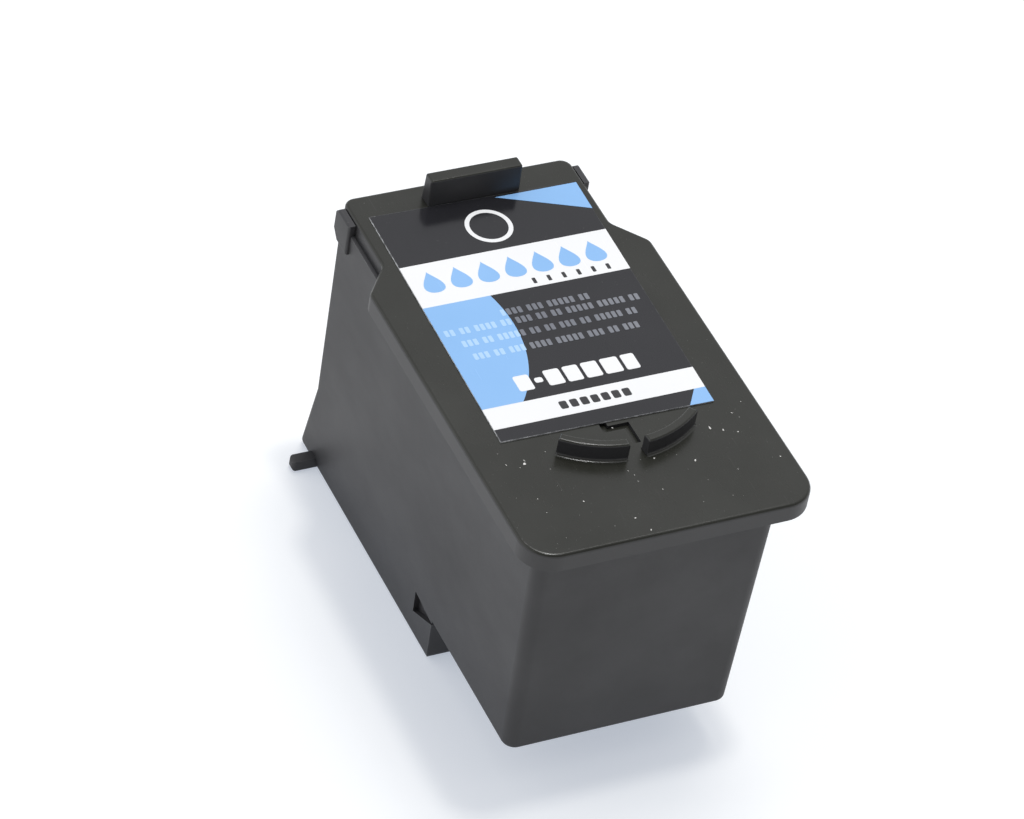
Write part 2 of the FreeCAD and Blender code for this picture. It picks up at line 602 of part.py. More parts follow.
def add_lid_ribs(body):
    """The locating rib that runs round inside the tank's rim, and the ribs that press on the absorber."""
    inside = half_width(f"({RIM} - Sizes.weld_rib_depth)", "Sizes.tank_wall + Sizes.weld_rib_gap")
    front = f"({CAVITY_FRONT} + Sizes.weld_rib_gap)"
    rear = f"({CAVITY_REAR} - Sizes.weld_rib_gap)"
    inner = f"({inside} - Sizes.weld_rib_width)"
    ring = sketch_on(body, "locating_rib_plan", "XY_Plane", RIM)
    corner = "Sizes.absorber_radius"
    add_loop(ring, [
        (f"-({inside} - {corner})", front), (f"({inside} - {corner})", front),
        (inside, f"({front} + {corner})"), (inside, f"({rear} - {corner})"),
        (f"({inside} - {corner})", rear), (f"-({inside} - {corner})", rear),
        (f"-{inside}", f"({rear} - {corner})"), (f"-{inside}", f"({front} + {corner})"),
    ])
    add_loop(ring, box_corners(f"-{inner}", inner, f"({front} + Sizes.weld_rib_width)",
                               f"({rear} - Sizes.weld_rib_width)"))
    pad(body, "locating_rib", ring, "Sizes.weld_rib_depth", downwards=True)
    middle = f"(({front} + {rear}) / 2)"
    ribs = sketch_on(body, "press_rib_plan", "XY_Plane", RIM)
    for number in range(PRESS_RIBS):
        step = number - (PRESS_RIBS - 1) / 2
        place = f"({middle} + {step} * Sizes.press_rib_pitch)"
        add_loop(ribs, box_corners(f"-{inner}", inner, f"({place} - Sizes.press_rib_width / 2)",
                                   f"({place} + Sizes.press_rib_width / 2)"))
    pad(body, "press_ribs", ribs, "Sizes.press_rib_depth", downwards=True)


def add_latch(body):
    crest = f"({LID_TOP} + Sizes.latch_height)"
    corners = [
        (LATCH_FRONT, f"({LID_TOP} - {SUNK})"),
        (LATCH_REAR, f"({LID_TOP} - {SUNK})"),
        (f"({LATCH_REAR} - Sizes.latch_draft)", crest),
        (f"({LATCH_FRONT} + Sizes.latch_draft)", crest),
    ]
    view = outline(body, "latch_side_view", "YZ_Plane", corners, "Sizes.latch_offset")
    pad(body, "latch_tab", view, "Sizes.latch_width", symmetric=True)
    top = value(LID_TOP)
    crest_z = value(crest)

    def latch_edge(edge):
        box = edge.BoundBox
        return box.ZMax > top + 0.1 and (lies_at(edge, crest_z) or is_upright(edge))

    rounded(body, "latch_edges", "Sizes.latch_radius", latch_edge)


def add_raised_arcs(body):
    """Two arcs of one circle in front of the label, turned about the circle's upright axis."""
    inner = "(Sizes.arc_outer_radius - Sizes.arc_width)"
    section = box_corners(inner, "Sizes.arc_outer_radius", f"({LID_TOP} - {SUNK})",
                          f"({LID_TOP} + Sizes.arc_height)")
    upright = FreeCAD.Rotation(FreeCAD.Vector(0, 1, 0), 1)
    turns = (("left", "(-90 - Sizes.arc_start - Sizes.arc_span)"), ("right", "(-90 + Sizes.arc_start)"))
    for side, turn in turns:
        sketch = sketch_on(body, f"arc_{side}_section", "XZ_Plane")
        add_loop(sketch, section)
        sketch.AttachmentOffset = FreeCAD.Placement(FreeCAD.Vector(), upright)
        sketch.setExpression(".AttachmentOffset.Base.x", "Sizes.arc_offset")
        sketch.setExpression(".AttachmentOffset.Base.z", f"-({LID_FRONT} + Sizes.arc_from_front)")
        sketch.setExpression(".AttachmentOffset.Rotation.Angle", turn)
        arc = body.newObject("PartDesign::Revolution", f"raised_arc_{side}")
        arc.Profile = sketch
        arc.ReferenceAxis = (sketch, ["V_Axis"])
        arc.setExpression("Angle", "Sizes.arc_span")
        doc.recompute()
    crest = value(f"({LID_TOP} + Sizes.arc_height)")
    rounded(body, "arc_edges", "Sizes.arc_edge_radius", lambda edge: lies_at(edge, crest))


def cut_vent(body):
    """The vent hole and the long groove that joins it to the open air in front of the label."""
    plan = outline(body, "groove_plan", "XY_Plane", groove_corners(), LID_TOP)
    pocket(body, "vent_groove", plan, "Sizes.groove_depth")
    hole = sketch_on(body, "vent_plan", "XY_Plane", LID_TOP)
    across, along = GROOVE_TURNS[0]
    add_circle(hole, str(across), f"({LABEL_FRONT} + {along})", "Sizes.vent_radius")
    pocket(body, "vent_hole", hole, "(Sizes.lid_plate + Sizes.press_rib_depth)")


def groove_corners():
    """The outline of the groove: down its left side from the vent hole, and back up its right side."""
    count = len(GROOVE_TURNS)
    headings = []
    for (x1, y1), (x2, y2) in zip(GROOVE_TURNS, GROOVE_TURNS[1:]):
        length = abs(x2 - x1) + abs(y2 - y1)
        headings.append(((x2 - x1) / length, (y2 - y1) / length))
    left = []
    right = []
    for index, (x, y) in enumerate(GROOVE_TURNS):
        before = headings[max(index - 1, 0)]
        after = headings[min(index, count - 2)]
        if index == 0:
            aside = (-after[1] - after[0], after[0] - after[1])
            other = (after[1] - after[0], -after[0] - after[1])
        elif index == count - 1:
            aside = (-before[1] + before[0], before[0] + before[1])
            other = (before[1] + before[0], -before[0] + before[1])
        else:
            aside = (-before[1] - after[1], before[0] + after[0])
            other = (-aside[0], -aside[1])
        for side, (step_x, step_y) in ((left, aside), (right, other)):
            side.append((f"({x} + {step_x} * Sizes.groove_width / 2)",
                         f"({LABEL_FRONT} + {y} + {step_y} * Sizes.groove_width / 2)"))
    return left + right[::-1]


def add_circle(sketch, across, up, radius):
    number = sketch.addGeometry(Part.Circle(FreeCAD.Vector(value(across), value(up), 0),
                                            FreeCAD.Vector(0, 0, 1), value(radius)), False)
    for kind, place in (("DistanceX", across), ("DistanceY", up)):
        rule = sketch.addConstraint(Sketcher.Constraint(kind, -1, 1, number, 3, value(place)))
        sketch.setExpression(f"Constraints[{rule}]", place)
    rule = sketch.addConstraint(Sketcher.Constraint("Radius", number, value(radius)))
    sketch.setExpression(f"Constraints[{rule}]", radius)


# Label: the film that seals the vent groove, and its printed fields

def film_side(sign, along):
    """Place across the lid of the film's left (-1) or right (1) edge, which is cut askew."""
    askew = f"({along} - {LABEL_MIDDLE}) * tan(Sizes.label_turn * 1 deg)"
    return f"({sign} * {LABEL_HALF} / cos(Sizes.label_turn * 1 deg) + {askew})"


def film_front(across):
    """Place along the lid of the film's front edge, which is cut askew too."""
    half = f"{LABEL_HALF_LENGTH} / cos(Sizes.label_turn * 1 deg)"
    return f"({LABEL_MIDDLE} - {half} - {across} * tan(Sizes.label_turn * 1 deg))"


def make_label():
    body = new_body("label_film")
    turned_x = "cos(Sizes.label_turn * 1 deg)"
    turned_y = "sin(Sizes.label_turn * 1 deg)"
    corners = []
    for across, along in (("-1", "-1"), ("1", "-1"), ("1", "1"), ("-1", "1")):
        x = f"({across} * {LABEL_HALF})"
        y = f"({along} * {LABEL_HALF_LENGTH})"
        corners.append((f"({x} * {turned_x} + {y} * {turned_y})",
                        f"({LABEL_MIDDLE} + {y} * {turned_x} - {x} * {turned_y})"))
    plan = outline(body, "label_plan", "XY_Plane", corners, LID_TOP)
    pad(body, "label_sheet", plan, "Sizes.label_thickness")
    return body


def make_white_print():
    """Two white bands across the label and a white ring near the latch."""
    body = new_body("label_white_print")
    body.AllowCompound = True
    for name, low, length in (("front_band", FRONT_BAND, "Sizes.front_band_length"),
                              ("rear_band", REAR_BAND, "Sizes.rear_band_length")):
        high = f"({low} + {length})"
        corners = [(film_side(-1, low), low), (film_side(1, low), low),
                   (film_side(1, high), high), (film_side(-1, high), high)]
        plan = outline(body, f"{name}_plan", "XY_Plane", corners, LABEL_TOP)
        pad(body, name, plan, "Sizes.print_thickness")
    ring = sketch_on(body, "ring_plan", "XY_Plane", LABEL_TOP)
    middle = f"({LABEL_REAR} - Sizes.ring_from_rear)"
    add_circle(ring, "Sizes.ring_offset", middle, "(Sizes.ring_radius + Sizes.ring_width / 2)")
    add_circle(ring, "Sizes.ring_offset", middle, "(Sizes.ring_radius - Sizes.ring_width / 2)")
    pad(body, "ring", ring, "Sizes.print_thickness")
    return body


def make_blue_print():
    """A blue field with a rounded edge between the bands, a wedge at the rear and a patch at the front."""
    body = new_body("label_blue_print")
    body.AllowCompound = True
    low = f"({FRONT_BAND} + Sizes.front_band_length)"
    high = REAR_BAND
    centre_x = "(-Sizes.blue_centre_left)"
    centre_y = f"({LABEL_FRONT} + Sizes.blue_centre_start)"
    field = sketch_on(body, "field_plan", "XY_Plane", LABEL_TOP)
    radius = value("Sizes.blue_radius")
    centre = FreeCAD.Vector(value(centre_x), value(centre_y), 0)

    def on_arc(up):
        return FreeCAD.Vector(centre.x + (radius ** 2 - (up - centre.y) ** 2) ** 0.5, up, 0)

    bottom_left = FreeCAD.Vector(value(film_side(-1, low)), value(low), 0)
    top_left = FreeCAD.Vector(value(film_side(-1, high)), value(high), 0)
    bottom_right = on_arc(bottom_left.y)
    top_right = on_arc(top_left.y)
    crown = on_arc((bottom_left.y + top_left.y) / 2)
    field.addGeometry(Part.LineSegment(top_left, bottom_left), False)
    field.addGeometry(Part.LineSegment(bottom_left, bottom_right), False)
    field.addGeometry(Part.Arc(bottom_right, crown, top_right), False)
    field.addGeometry(Part.LineSegment(top_right, top_left), False)
    for joined in ((0, 2, 1, 1), (1, 2, 2, 1), (2, 2, 3, 1), (3, 2, 0, 1)):
        field.addConstraint(Sketcher.Constraint("Coincident", *joined))
    bind(field, "DistanceX", (0, 2), film_side(-1, low))
    bind(field, "DistanceY", (0, 2), low)
    bind(field, "DistanceX", (0, 1), film_side(-1, high))
    bind(field, "DistanceY", (0, 1), high)
    bind(field, "DistanceY", (1, 2), low)
    bind(field, "DistanceY", (3, 1), high)
    bind(field, "DistanceX", (2, 3), centre_x)
    bind(field, "DistanceY", (2, 3), centre_y)
    rule = field.addConstraint(Sketcher.Constraint("Radius", 2, radius))
    field.setExpression(f"Constraints[{rule}]", "Sizes.blue_radius")
    pad(body, "blue_field", field, "Sizes.print_thickness")
    edge = f"({LABEL_REAR} - Sizes.wedge_from_rear)"
    wedge = sketch_on(body, "wedge_plan", "XY_Plane", LABEL_TOP)
    tip = f"({edge} - Sizes.wedge_length)"
    add_loop(wedge, [(f"({film_side(1, edge)} - Sizes.wedge_width)", edge), (film_side(1, tip), tip),
                     (film_side(1, edge), edge)])
    pad(body, "blue_wedge", wedge, "Sizes.print_thickness")
    band = FRONT_BAND
    patch = sketch_on(body, "patch_plan", "XY_Plane", LABEL_TOP)
    corner_y = film_front(LABEL_HALF)
    corner_x = film_side(1, corner_y)
    inner_x = f"({corner_x} - Sizes.corner_patch_width)"
    upper_x = f"({film_side(1, band)} - Sizes.corner_patch_width + Sizes.corner_patch_slant)"
    add_loop(patch, [(inner_x, film_front(inner_x)), (corner_x, film_front(corner_x)),
                     (film_side(1, band), band), (upper_x, band)])
    pad(body, "blue_patch", patch, "Sizes.print_thickness")
    return body


def bind(sketch, kind, point, expression):
    """Holds a point of a sketch at a distance from the sketch's origin."""
    rule = sketch.addConstraint(Sketcher.Constraint(kind, -1, 1, point[0], point[1], value(expression)))
    sketch.setExpression(f"Constraints[{rule}]", expression)


# Inside: the absorber and the filter

def make_absorber():
    """Fibre block that fills the chamber under the lid's ribs, with a dent over the filter."""
    body = new_body("ink_absorber")
    front = f"({CAVITY_FRONT} + Sizes.absorber_gap)"
    rear = f"({CAVITY_REAR} - Sizes.absorber_gap)"
    plan = outline(body, "absorber_plan", "XY_Plane",
                   box_corners(f"-{HALF_TOP}", HALF_TOP, front, rear), FLOOR)
    pad(body, "absorber_block", plan, f"({PRESS_LEVEL} - {FLOOR})")
    side_slabs(body, "absorber_draft", "Sizes.tank_wall + Sizes.absorber_gap")
    rounded(body, "absorber_corners", "Sizes.absorber_radius", is_upright)
    dent = outline(body, "absorber_dent_plan", "XY_Plane",
                   box_corners(f"(-{STEM_HALF_WIDTH})", STEM_HALF_WIDTH, STEM_FRONT, STEM_REAR), FLOOR)
    pocket(body, "absorber_dent", dent, "Sizes.filter_rise", downwards=True)
    return body


def make_filter():
    body = new_body("filter_screen")
    half_width_rule = "(Sizes.filter_width / 2 + Sizes.filter_seat / 2)"
    half_length_rule = "(Sizes.filter_length / 2 + Sizes.filter_seat / 2)"
    plan = outline(body, "filter_plan", "XY_Plane",
                   box_corners(f"-{half_width_rule}", half_width_rule,
                               f"({CHIP_MIDDLE} - {half_length_rule})",
                               f"({CHIP_MIDDLE} + {half_length_rule})"), FILTER_BASE)
    pad(body, "filter_sheet", plan, "Sizes.filter_thickness")
    return body


# Head: chip with its nozzle layer and bond, the sealing compounds, the wiring tape and its contacts

def chip_block(label, half_wide, half_long, base, thickness, slot):
    """A flat block centred on the chip, with the ink slot through it where slot is true."""
    body = new_body(label)
    plan = sketch_on(body, f"{label}_plan", "XY_Plane", base)
    add_loop(plan, box_corners(f"-{half_wide}", half_wide, f"({CHIP_MIDDLE} - {half_long})",
                               f"({CHIP_MIDDLE} + {half_long})"))
    if slot:
        add_loop(plan, box_corners("-Sizes.ink_slot_width / 2", "Sizes.ink_slot_width / 2",
                                   f"({CHIP_MIDDLE} - Sizes.ink_slot_length / 2)",
                                   f"({CHIP_MIDDLE} + Sizes.ink_slot_length / 2)"))
    pad(body, f"{label}_block", plan, thickness)
    return body


def make_chip():
    half_wide = "Sizes.chip_width / 2"
    half_long = "Sizes.chip_length / 2"
    chip_face = f"({TAPE_FACE} + Sizes.nozzle_layer)"
    chip_back = f"({chip_face} + Sizes.chip_thickness)"
    layer = chip_block("nozzle_layer", half_wide, half_long, TAPE_FACE, "Sizes.nozzle_layer", False)
    chip = chip_block("silicon_chip", half_wide, half_long, chip_face, "Sizes.chip_thickness", True)
    glue = chip_block("chip_bond", half_wide, half_long, chip_back, "Sizes.chip_glue", True)
    return [layer, chip, glue]


def make_side_sealant():
    """Sealing compound that fills the pocket on both long sides of the chip, up to the tape."""
    body = new_body("chip_sealant")
    body.AllowCompound = True
    face = f"({TAPE_FACE} + Sizes.nozzle_layer)"
    for side, left, right in (("left", f"-{POCKET_HALF_WIDTH}", "-Sizes.chip_width / 2"),
                              ("right", "Sizes.chip_width / 2", POCKET_HALF_WIDTH)):
        plan = outline(body, f"sealant_{side}_plan", "XY_Plane",
                       box_corners(left, right, f"({CHIP_MIDDLE} - Sizes.chip_length / 2)",
                                   f"({CHIP_MIDDLE} + Sizes.chip_length / 2)"), face)
        pad(body, f"sealant_{side}", plan, f"({POCKET_ROOF} - {face})")
    return body


def make_tape():
    """Wiring tape: flat below the head, bent up at the rear, flat on the contact land."""
    body = new_body("wiring_tape")
    front = f"({CHIP_MIDDLE} - {POCKET_HALF_LENGTH} - Sizes.tape_side - Sizes.lead_window)"
    inner = "Sizes.tape_bend"
    outer = "(Sizes.tape_bend + Sizes.tape_thickness)"
    turn_y = f"({LAND} - {inner})"
    turn_z = f"(Sizes.tape_recess + {inner})"
    back = f"({LAND} + Sizes.tape_thickness)"
    view = sketch_on(body, "tape_side_view", "YZ_Plane")
    points = {
        "front_low": (front, TAPE_FACE),
        "bend_low": (turn_y, TAPE_FACE),
        "bend_back": (back, turn_z),
        "top_back": (back, "Sizes.tape_top"),
        "top_front": (LAND, "Sizes.tape_top"),
        "bend_front": (LAND, turn_z),
        "bend_high": (turn_y, "Sizes.tape_recess"),
        "front_high": (front, "Sizes.tape_recess"),
    }
    place = {name: FreeCAD.Vector(value(y), value(z), 0) for name, (y, z) in points.items()}
    centre = FreeCAD.Vector(value(turn_y), value(turn_z), 0)

    def bend_crown(radius):
        return centre + FreeCAD.Vector(radius * 0.5 ** 0.5, -radius * 0.5 ** 0.5, 0)

    view.addGeometry(Part.LineSegment(place["front_low"], place["bend_low"]), False)
    view.addGeometry(Part.Arc(place["bend_low"], bend_crown(value(outer)), place["bend_back"]), False)
    view.addGeometry(Part.LineSegment(place["bend_back"], place["top_back"]), False)
    view.addGeometry(Part.LineSegment(place["top_back"], place["top_front"]), False)
    view.addGeometry(Part.LineSegment(place["top_front"], place["bend_front"]), False)
    view.addGeometry(Part.Arc(place["bend_front"], bend_crown(value(inner)), place["bend_high"]), False)
    view.addGeometry(Part.LineSegment(place["bend_high"], place["front_high"]), False)
    view.addGeometry(Part.LineSegment(place["front_high"], place["front_low"]), False)
    # an arc runs anticlockwise, so the inner bend starts at its lower end
    joins = [(0, 2, 1, 1), (1, 2, 2, 1), (2, 2, 3, 1), (3, 2, 4, 1), (4, 2, 5, 2), (5, 1, 6, 1),
             (6, 2, 7, 1), (7, 2, 0, 1)]
    for joined in joins:
        view.addConstraint(Sketcher.Constraint("Coincident", *joined))
    held = [(0, 1, "front_low"), (0, 2, "bend_low"), (2, 1, "bend_back"), (2, 2, "top_back"),
            (4, 1, "top_front"), (4, 2, "bend_front"), (6, 1, "bend_high"), (7, 1, "front_high")]
    for line, end, name in held:
        bind(view, "DistanceX", (line, end), points[name][0])
        bind(view, "DistanceY", (line, end), points[name][1])
    for arc in (1, 5):
        bind(view, "DistanceX", (arc, 3), turn_y)
    pad(body, "tape_strip", view, TAPE_WIDTH, symmetric=True)
    window = f"({POCKET_HALF_LENGTH} + Sizes.lead_window)"
    plan = outline(body, "tape_window_plan", "XY_Plane",
                   box_corners(f"-{POCKET_HALF_WIDTH}", POCKET_HALF_WIDTH, f"({CHIP_MIDDLE} - {window})",
                               f"({CHIP_MIDDLE} + {window})"))
    pocket(body, "tape_window", plan, f"(Sizes.tape_recess + {SUNK})", downwards=True)
    top = value("Sizes.tape_top")
    rounded(body, "tape_corners", "Sizes.tape_side",
            lambda edge: close(edge.BoundBox.ZMin, top) and close(edge.BoundBox.XMin, edge.BoundBox.XMax))
    return body


def make_lead_beads():
    """Sealing compound over the leads: it fills each end of the pocket and of the tape's window."""
    body = new_body("lead_sealant")
    body.AllowCompound = True
    half = "Sizes.bead_width / 2"
    base = f"({TAPE_FACE} - Sizes.bead_height)"
    for end, sign in (("front", "-1"), ("rear", "1")):
        chip_end = f"({CHIP_MIDDLE} + {sign} * Sizes.chip_length / 2)"
        pocket_end = f"({CHIP_MIDDLE} + {sign} * {POCKET_HALF_LENGTH})"
        window_end = f"({CHIP_MIDDLE} + {sign} * ({POCKET_HALF_LENGTH} + Sizes.lead_window))"
        corners = [(chip_end, TAPE_FACE), (window_end, TAPE_FACE), (window_end, "Sizes.tape_recess"),
                   (pocket_end, "Sizes.tape_recess"), (pocket_end, POCKET_ROOF), (chip_end, POCKET_ROOF)]
        view = outline(body, f"fill_{end}_view", "YZ_Plane", corners)
        pad(body, f"fill_{end}", view, f"(2 * {POCKET_HALF_WIDTH})", symmetric=True)
        near = f"({chip_end} - {sign} * Sizes.bead_overlap)"
        far = f"({near} + {sign} * Sizes.bead_length)"
        plan = outline(body, f"bead_{end}_plan", "XY_Plane", box_corners(f"-{half}", half, near, far), base)
        pad(body, f"bead_{end}", plan, "Sizes.bead_height")
    return body


def make_contact_pads():
    """Gold contact pads on the upright part of the tape, as one group."""
    pads = []
    for row in range(PAD_ROWS):
        for column in range(PAD_COLUMNS):
            across = column - (PAD_COLUMNS - 1) / 2
            up = row - (PAD_ROWS - 1) / 2
            item = doc.addObject("Part::Box", f"pad_{row + 1}_{column + 1}")
            item.setExpression("Length", "Sizes.pad_width")
            item.setExpression("Width", "Sizes.pad_thickness")
            item.setExpression("Height", "Sizes.pad_height")
            item.setExpression(".Placement.Base.x",
                               f"{across} * {PAD_PITCH} - Sizes.pad_width / 2")
            item.setExpression(".Placement.Base.y", f"{LAND} + Sizes.tape_thickness")
            item.setExpression(".Placement.Base.z",
                               f"Sizes.pad_field_middle + {up} * Sizes.pad_pitch_up - Sizes.pad_height / 2")
            pads.append(item)
    group = doc.addObject("Part::Compound", "contact_pads")
    group.Label = "contact_pads"
    group.Links = pads
    return group


def check_document():
    """Stops if any object of the document has failed."""
    doc.recompute()
    for item in doc.Objects:
        if "Invalid" in item.State or "Error" in item.State:
            raise RuntimeError(f"{item.Name} failed: {item.State}")


def write_parts(pieces):
    os.makedirs("parts", exist_ok=True)
    for piece in pieces:
        if piece.Shape.isNull() or not piece.Shape.isValid():
            raise RuntimeError(f"{piece.Label} has no valid shape")
    for piece in pieces:
        piece.Shape.exportStep(f"parts/{piece.Label}.step")
        box = piece.Shape.BoundBox
        print(f"{piece.Label}: {len(piece.Shape.Solids)} solids, {piece.Shape.Volume:.1f} mm3, "
              f"x {box.XMin:.2f} {box.XMax:.2f}, y {box.YMin:.2f} {box.YMax:.2f}, "
              f"z {box.ZMin:.2f} {box.ZMax:.2f}")


pieces = [
    make_tank(),
    make_lid(),
    make_label(),
    make_white_print(),
    make_blue_print(),
    make_absorber(),
    make_filter(),
    *make_chip(),
    make_side_sealant(),
    make_tape(),
    make_lead_beads(),
    make_contact_pads(),
]
check_document()
write_parts(pieces)
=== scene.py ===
"""Looks of an inkjet ink cartridge: moulded black plastic, a glossy printed label and amber wiring tape.

Everything is in metres, in the part's own frame: X across, +Y towards the contact side, +Z up.
"""

import math
import random

import bmesh
import bpy
from mathutils import Matrix, Vector


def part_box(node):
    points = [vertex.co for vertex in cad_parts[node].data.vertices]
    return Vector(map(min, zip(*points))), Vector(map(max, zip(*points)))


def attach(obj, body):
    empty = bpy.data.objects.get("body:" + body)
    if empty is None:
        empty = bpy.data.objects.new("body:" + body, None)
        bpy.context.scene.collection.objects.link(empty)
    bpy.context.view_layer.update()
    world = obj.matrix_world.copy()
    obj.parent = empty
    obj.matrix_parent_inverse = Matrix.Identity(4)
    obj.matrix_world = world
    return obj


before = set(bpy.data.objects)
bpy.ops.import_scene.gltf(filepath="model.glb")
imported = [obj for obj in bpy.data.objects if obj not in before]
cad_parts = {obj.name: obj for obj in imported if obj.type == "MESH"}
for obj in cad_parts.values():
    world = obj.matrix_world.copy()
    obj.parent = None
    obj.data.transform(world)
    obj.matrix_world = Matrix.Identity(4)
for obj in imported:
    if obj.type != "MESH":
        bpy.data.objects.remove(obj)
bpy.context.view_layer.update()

MM = 0.001

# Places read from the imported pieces

lid_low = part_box("tank_lid")[0]
film_low, film_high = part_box("label_film")
tape_low, tape_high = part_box("wiring_tape")
layer_low, layer_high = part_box("nozzle_layer")
bead_low, bead_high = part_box("lead_sealant")
pads_low, pads_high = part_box("contact_pads")
LID_TOP = film_low.z
PRINT_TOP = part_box("label_white_print")[1].z
# Middle of the lid's front edge, at its top face: the photograph's camera is placed from here
LID_EDGE = Vector((0, lid_low.y, LID_TOP))


# Small helpers for shader trees

def put(tree, kind, wires=None, **settings):
    """Adds a node. Wires gives each input, by name or number, a value or another node's output."""
    made = tree.nodes.new(kind)
    for name, setting in settings.items():
        setattr(made, name, setting)
    for key, source in (wires or {}).items():
        if isinstance(source, bpy.types.NodeSocket):
            tree.links.new(source, made.inputs[key])
        else:
            made.inputs[key].default_value = source
    return made


def maths(tree, operation, first, second=0.0):
    """One sum on two values, by Blender's name for the operation."""
    return put(tree, "ShaderNodeMath", {0: first, 1: second}, operation=operation).outputs[0]


def rescaled(tree, source, from_low, from_high, to_low, to_high):
    """A value's range stretched onto another range, clamped at both ends."""
    limits = {"From Min": from_low, "From Max": from_high, "To Min": to_low, "To Max": to_high}
    return put(tree, "ShaderNodeMapRange", {"Value": source, **limits}).outputs[0]


def mask_from(tree, source, low, high):
    """A mask that is 0 up to the low value and 1 from the high one on."""
    return rescaled(tree, source, low, high, 0.0, 1.0)


def spread(tree, share, low, high):
    """The low value where the share is 0, and the high one where it is 1."""
    return rescaled(tree, share, 0.0, 1.0, low, high)


def blended(tree, mask, first, second):
    """The first colour where the mask is 0 and the second where it is 1."""
    return put(tree, "ShaderNodeMix", {0: mask, 6: first, 7: second}, data_type="RGBA").outputs[2]


def noise(tree, place, scale, detail=2.0, roughness=0.5):
    """Cloudy noise of 0 to 1, with about so many features to the metre."""
    wires = {"Vector": place, "Scale": scale, "Detail": detail, "Roughness": roughness}
    return put(tree, "ShaderNodeTexNoise", wires).outputs["Fac"]


def waves(tree, place, scale, axis):
    """Even bands of 0 to 1 that follow each other along one axis."""
    wires = {"Vector": place, "Scale": scale}
    return put(tree, "ShaderNodeTexWave", wires, bands_direction=axis).outputs["Fac"]


def stretched(tree, place, scale):
    """The place scaled on each axis: a small scale draws a pattern out along that axis."""
    return put(tree, "ShaderNodeMapping", {"Vector": place, "Scale": scale}).outputs[0]


def object_place(tree):
    """The place in the piece's own coordinates, in metres."""
    return put(tree, "ShaderNodeTexCoord").outputs["Object"]


def alignment(tree, first, second):
    """Dot product of two directions: 1 where they point the same way."""
    wires = {0: first, 1: second}
    return put(tree, "ShaderNodeVectorMath", wires, operation="DOT_PRODUCT").outputs["Value"]


def turned_up(tree, low, high):
    """A mask that is 1 on faces that point up, blended where the normal's Z is between the limits."""
    normal = put(tree, "ShaderNodeNewGeometry").outputs["Normal"]
    up = put(tree, "ShaderNodeSeparateXYZ", {0: normal}).outputs["Z"]
    return mask_from(tree, up, low, high)


def new_group(name, inputs, outputs):
    """A shader node group with named number inputs, as (name, usual value), and named outputs."""
    tree = bpy.data.node_groups.new(name, "ShaderNodeTree")
    for label, usual in inputs:
        socket = tree.interface.new_socket(name=label, in_out="INPUT", socket_type="NodeSocketFloat")
        socket.default_value = usual
    for label in outputs:
        tree.interface.new_socket(name=label, in_out="OUTPUT", socket_type="NodeSocketFloat")
    start = tree.nodes.new("NodeGroupInput")
    end = tree.nodes.new("NodeGroupOutput")
    return tree, start.outputs, end.inputs


def place_group(tree, group, **values):
    """The outputs of a shared group, with its inputs set to the values given."""
    made = tree.nodes.new("ShaderNodeGroup")
    made.node_tree = group
    for name, setting in values.items():
        made.inputs[name].default_value = setting
    return made.outputs


# Effects that several finishes share

def make_moulded_grain():
    """Spark-eroded mould texture: fine pits for the bump, and slow blotches for colour and gloss."""
    inputs = [("Pits", 9000.0), ("Blotches", 120.0)]
    tree, given, out = new_group("moulded_grain", inputs, ["Height", "Blotch"])
    place = object_place(tree)
    broad = noise(tree, place, given["Blotches"], 4.0, 0.6)
    tree.links.new(noise(tree, place, given["Pits"], 3.0, 0.6), out["Height"])
    tree.links.new(mask_from(tree, broad, 0.3, 0.7), out["Blotch"])
    return tree


def make_rubbed_edges():
    """A mask of outer edges, worn shiny by handling, broken up so that it isn't an even line; where it
    also pales a colour, that is partly wear and partly a painted edge sheen.
    """
    tree, given, out = new_group("rubbed_edges", [("Reach", 0.4 * MM), ("Breakup", 900.0)], ["Mask"])
    rounded = put(tree, "ShaderNodeBevel", {"Radius": given["Reach"]}, samples=6).outputs["Normal"]
    flat = put(tree, "ShaderNodeNewGeometry").outputs["Normal"]
    edge = rescaled(tree, alignment(tree, rounded, flat), 0.80, 0.995, 1.0, 0.0)
    broken = noise(tree, object_place(tree), given["Breakup"], 3.0)
    patches = rescaled(tree, broken, 0.35, 0.65, 0.25, 1.0)
    tree.links.new(maths(tree, "MULTIPLY", edge, patches), out["Mask"])
    return tree


def make_handling():
    """Finger smears and hairline scratches, as a mask for gloss and a height for bump."""
    inputs = [("Smears", 90.0), ("Hairlines", 300.0)]
    tree, given, out = new_group("handling_marks", inputs, ["Smear", "Hairline"])
    rubbing_turn, fineness = 0.6, 14.0
    place = object_place(tree)
    smear = noise(tree, stretched(tree, place, (1.0, 0.45, 1.0)), given["Smears"], 5.0, 0.65)
    tree.links.new(mask_from(tree, smear, 0.38, 0.68), out["Smear"])
    rubbing = {"Vector": place, "Rotation": (0, 0, rubbing_turn), "Scale": (1.0, 0.03, 1.0)}
    turned = put(tree, "ShaderNodeMapping", rubbing).outputs[0]
    lines = noise(tree, turned, maths(tree, "MULTIPLY", given["Hairlines"], fineness), 1.0)
    gaps = noise(tree, place, given["Hairlines"], 1.0)
    fine = mask_from(tree, lines, 0.70, 0.76)
    kept = mask_from(tree, gaps, 0.5, 0.6)
    tree.links.new(maths(tree, "MULTIPLY", fine, kept), out["Hairline"])
    return tree


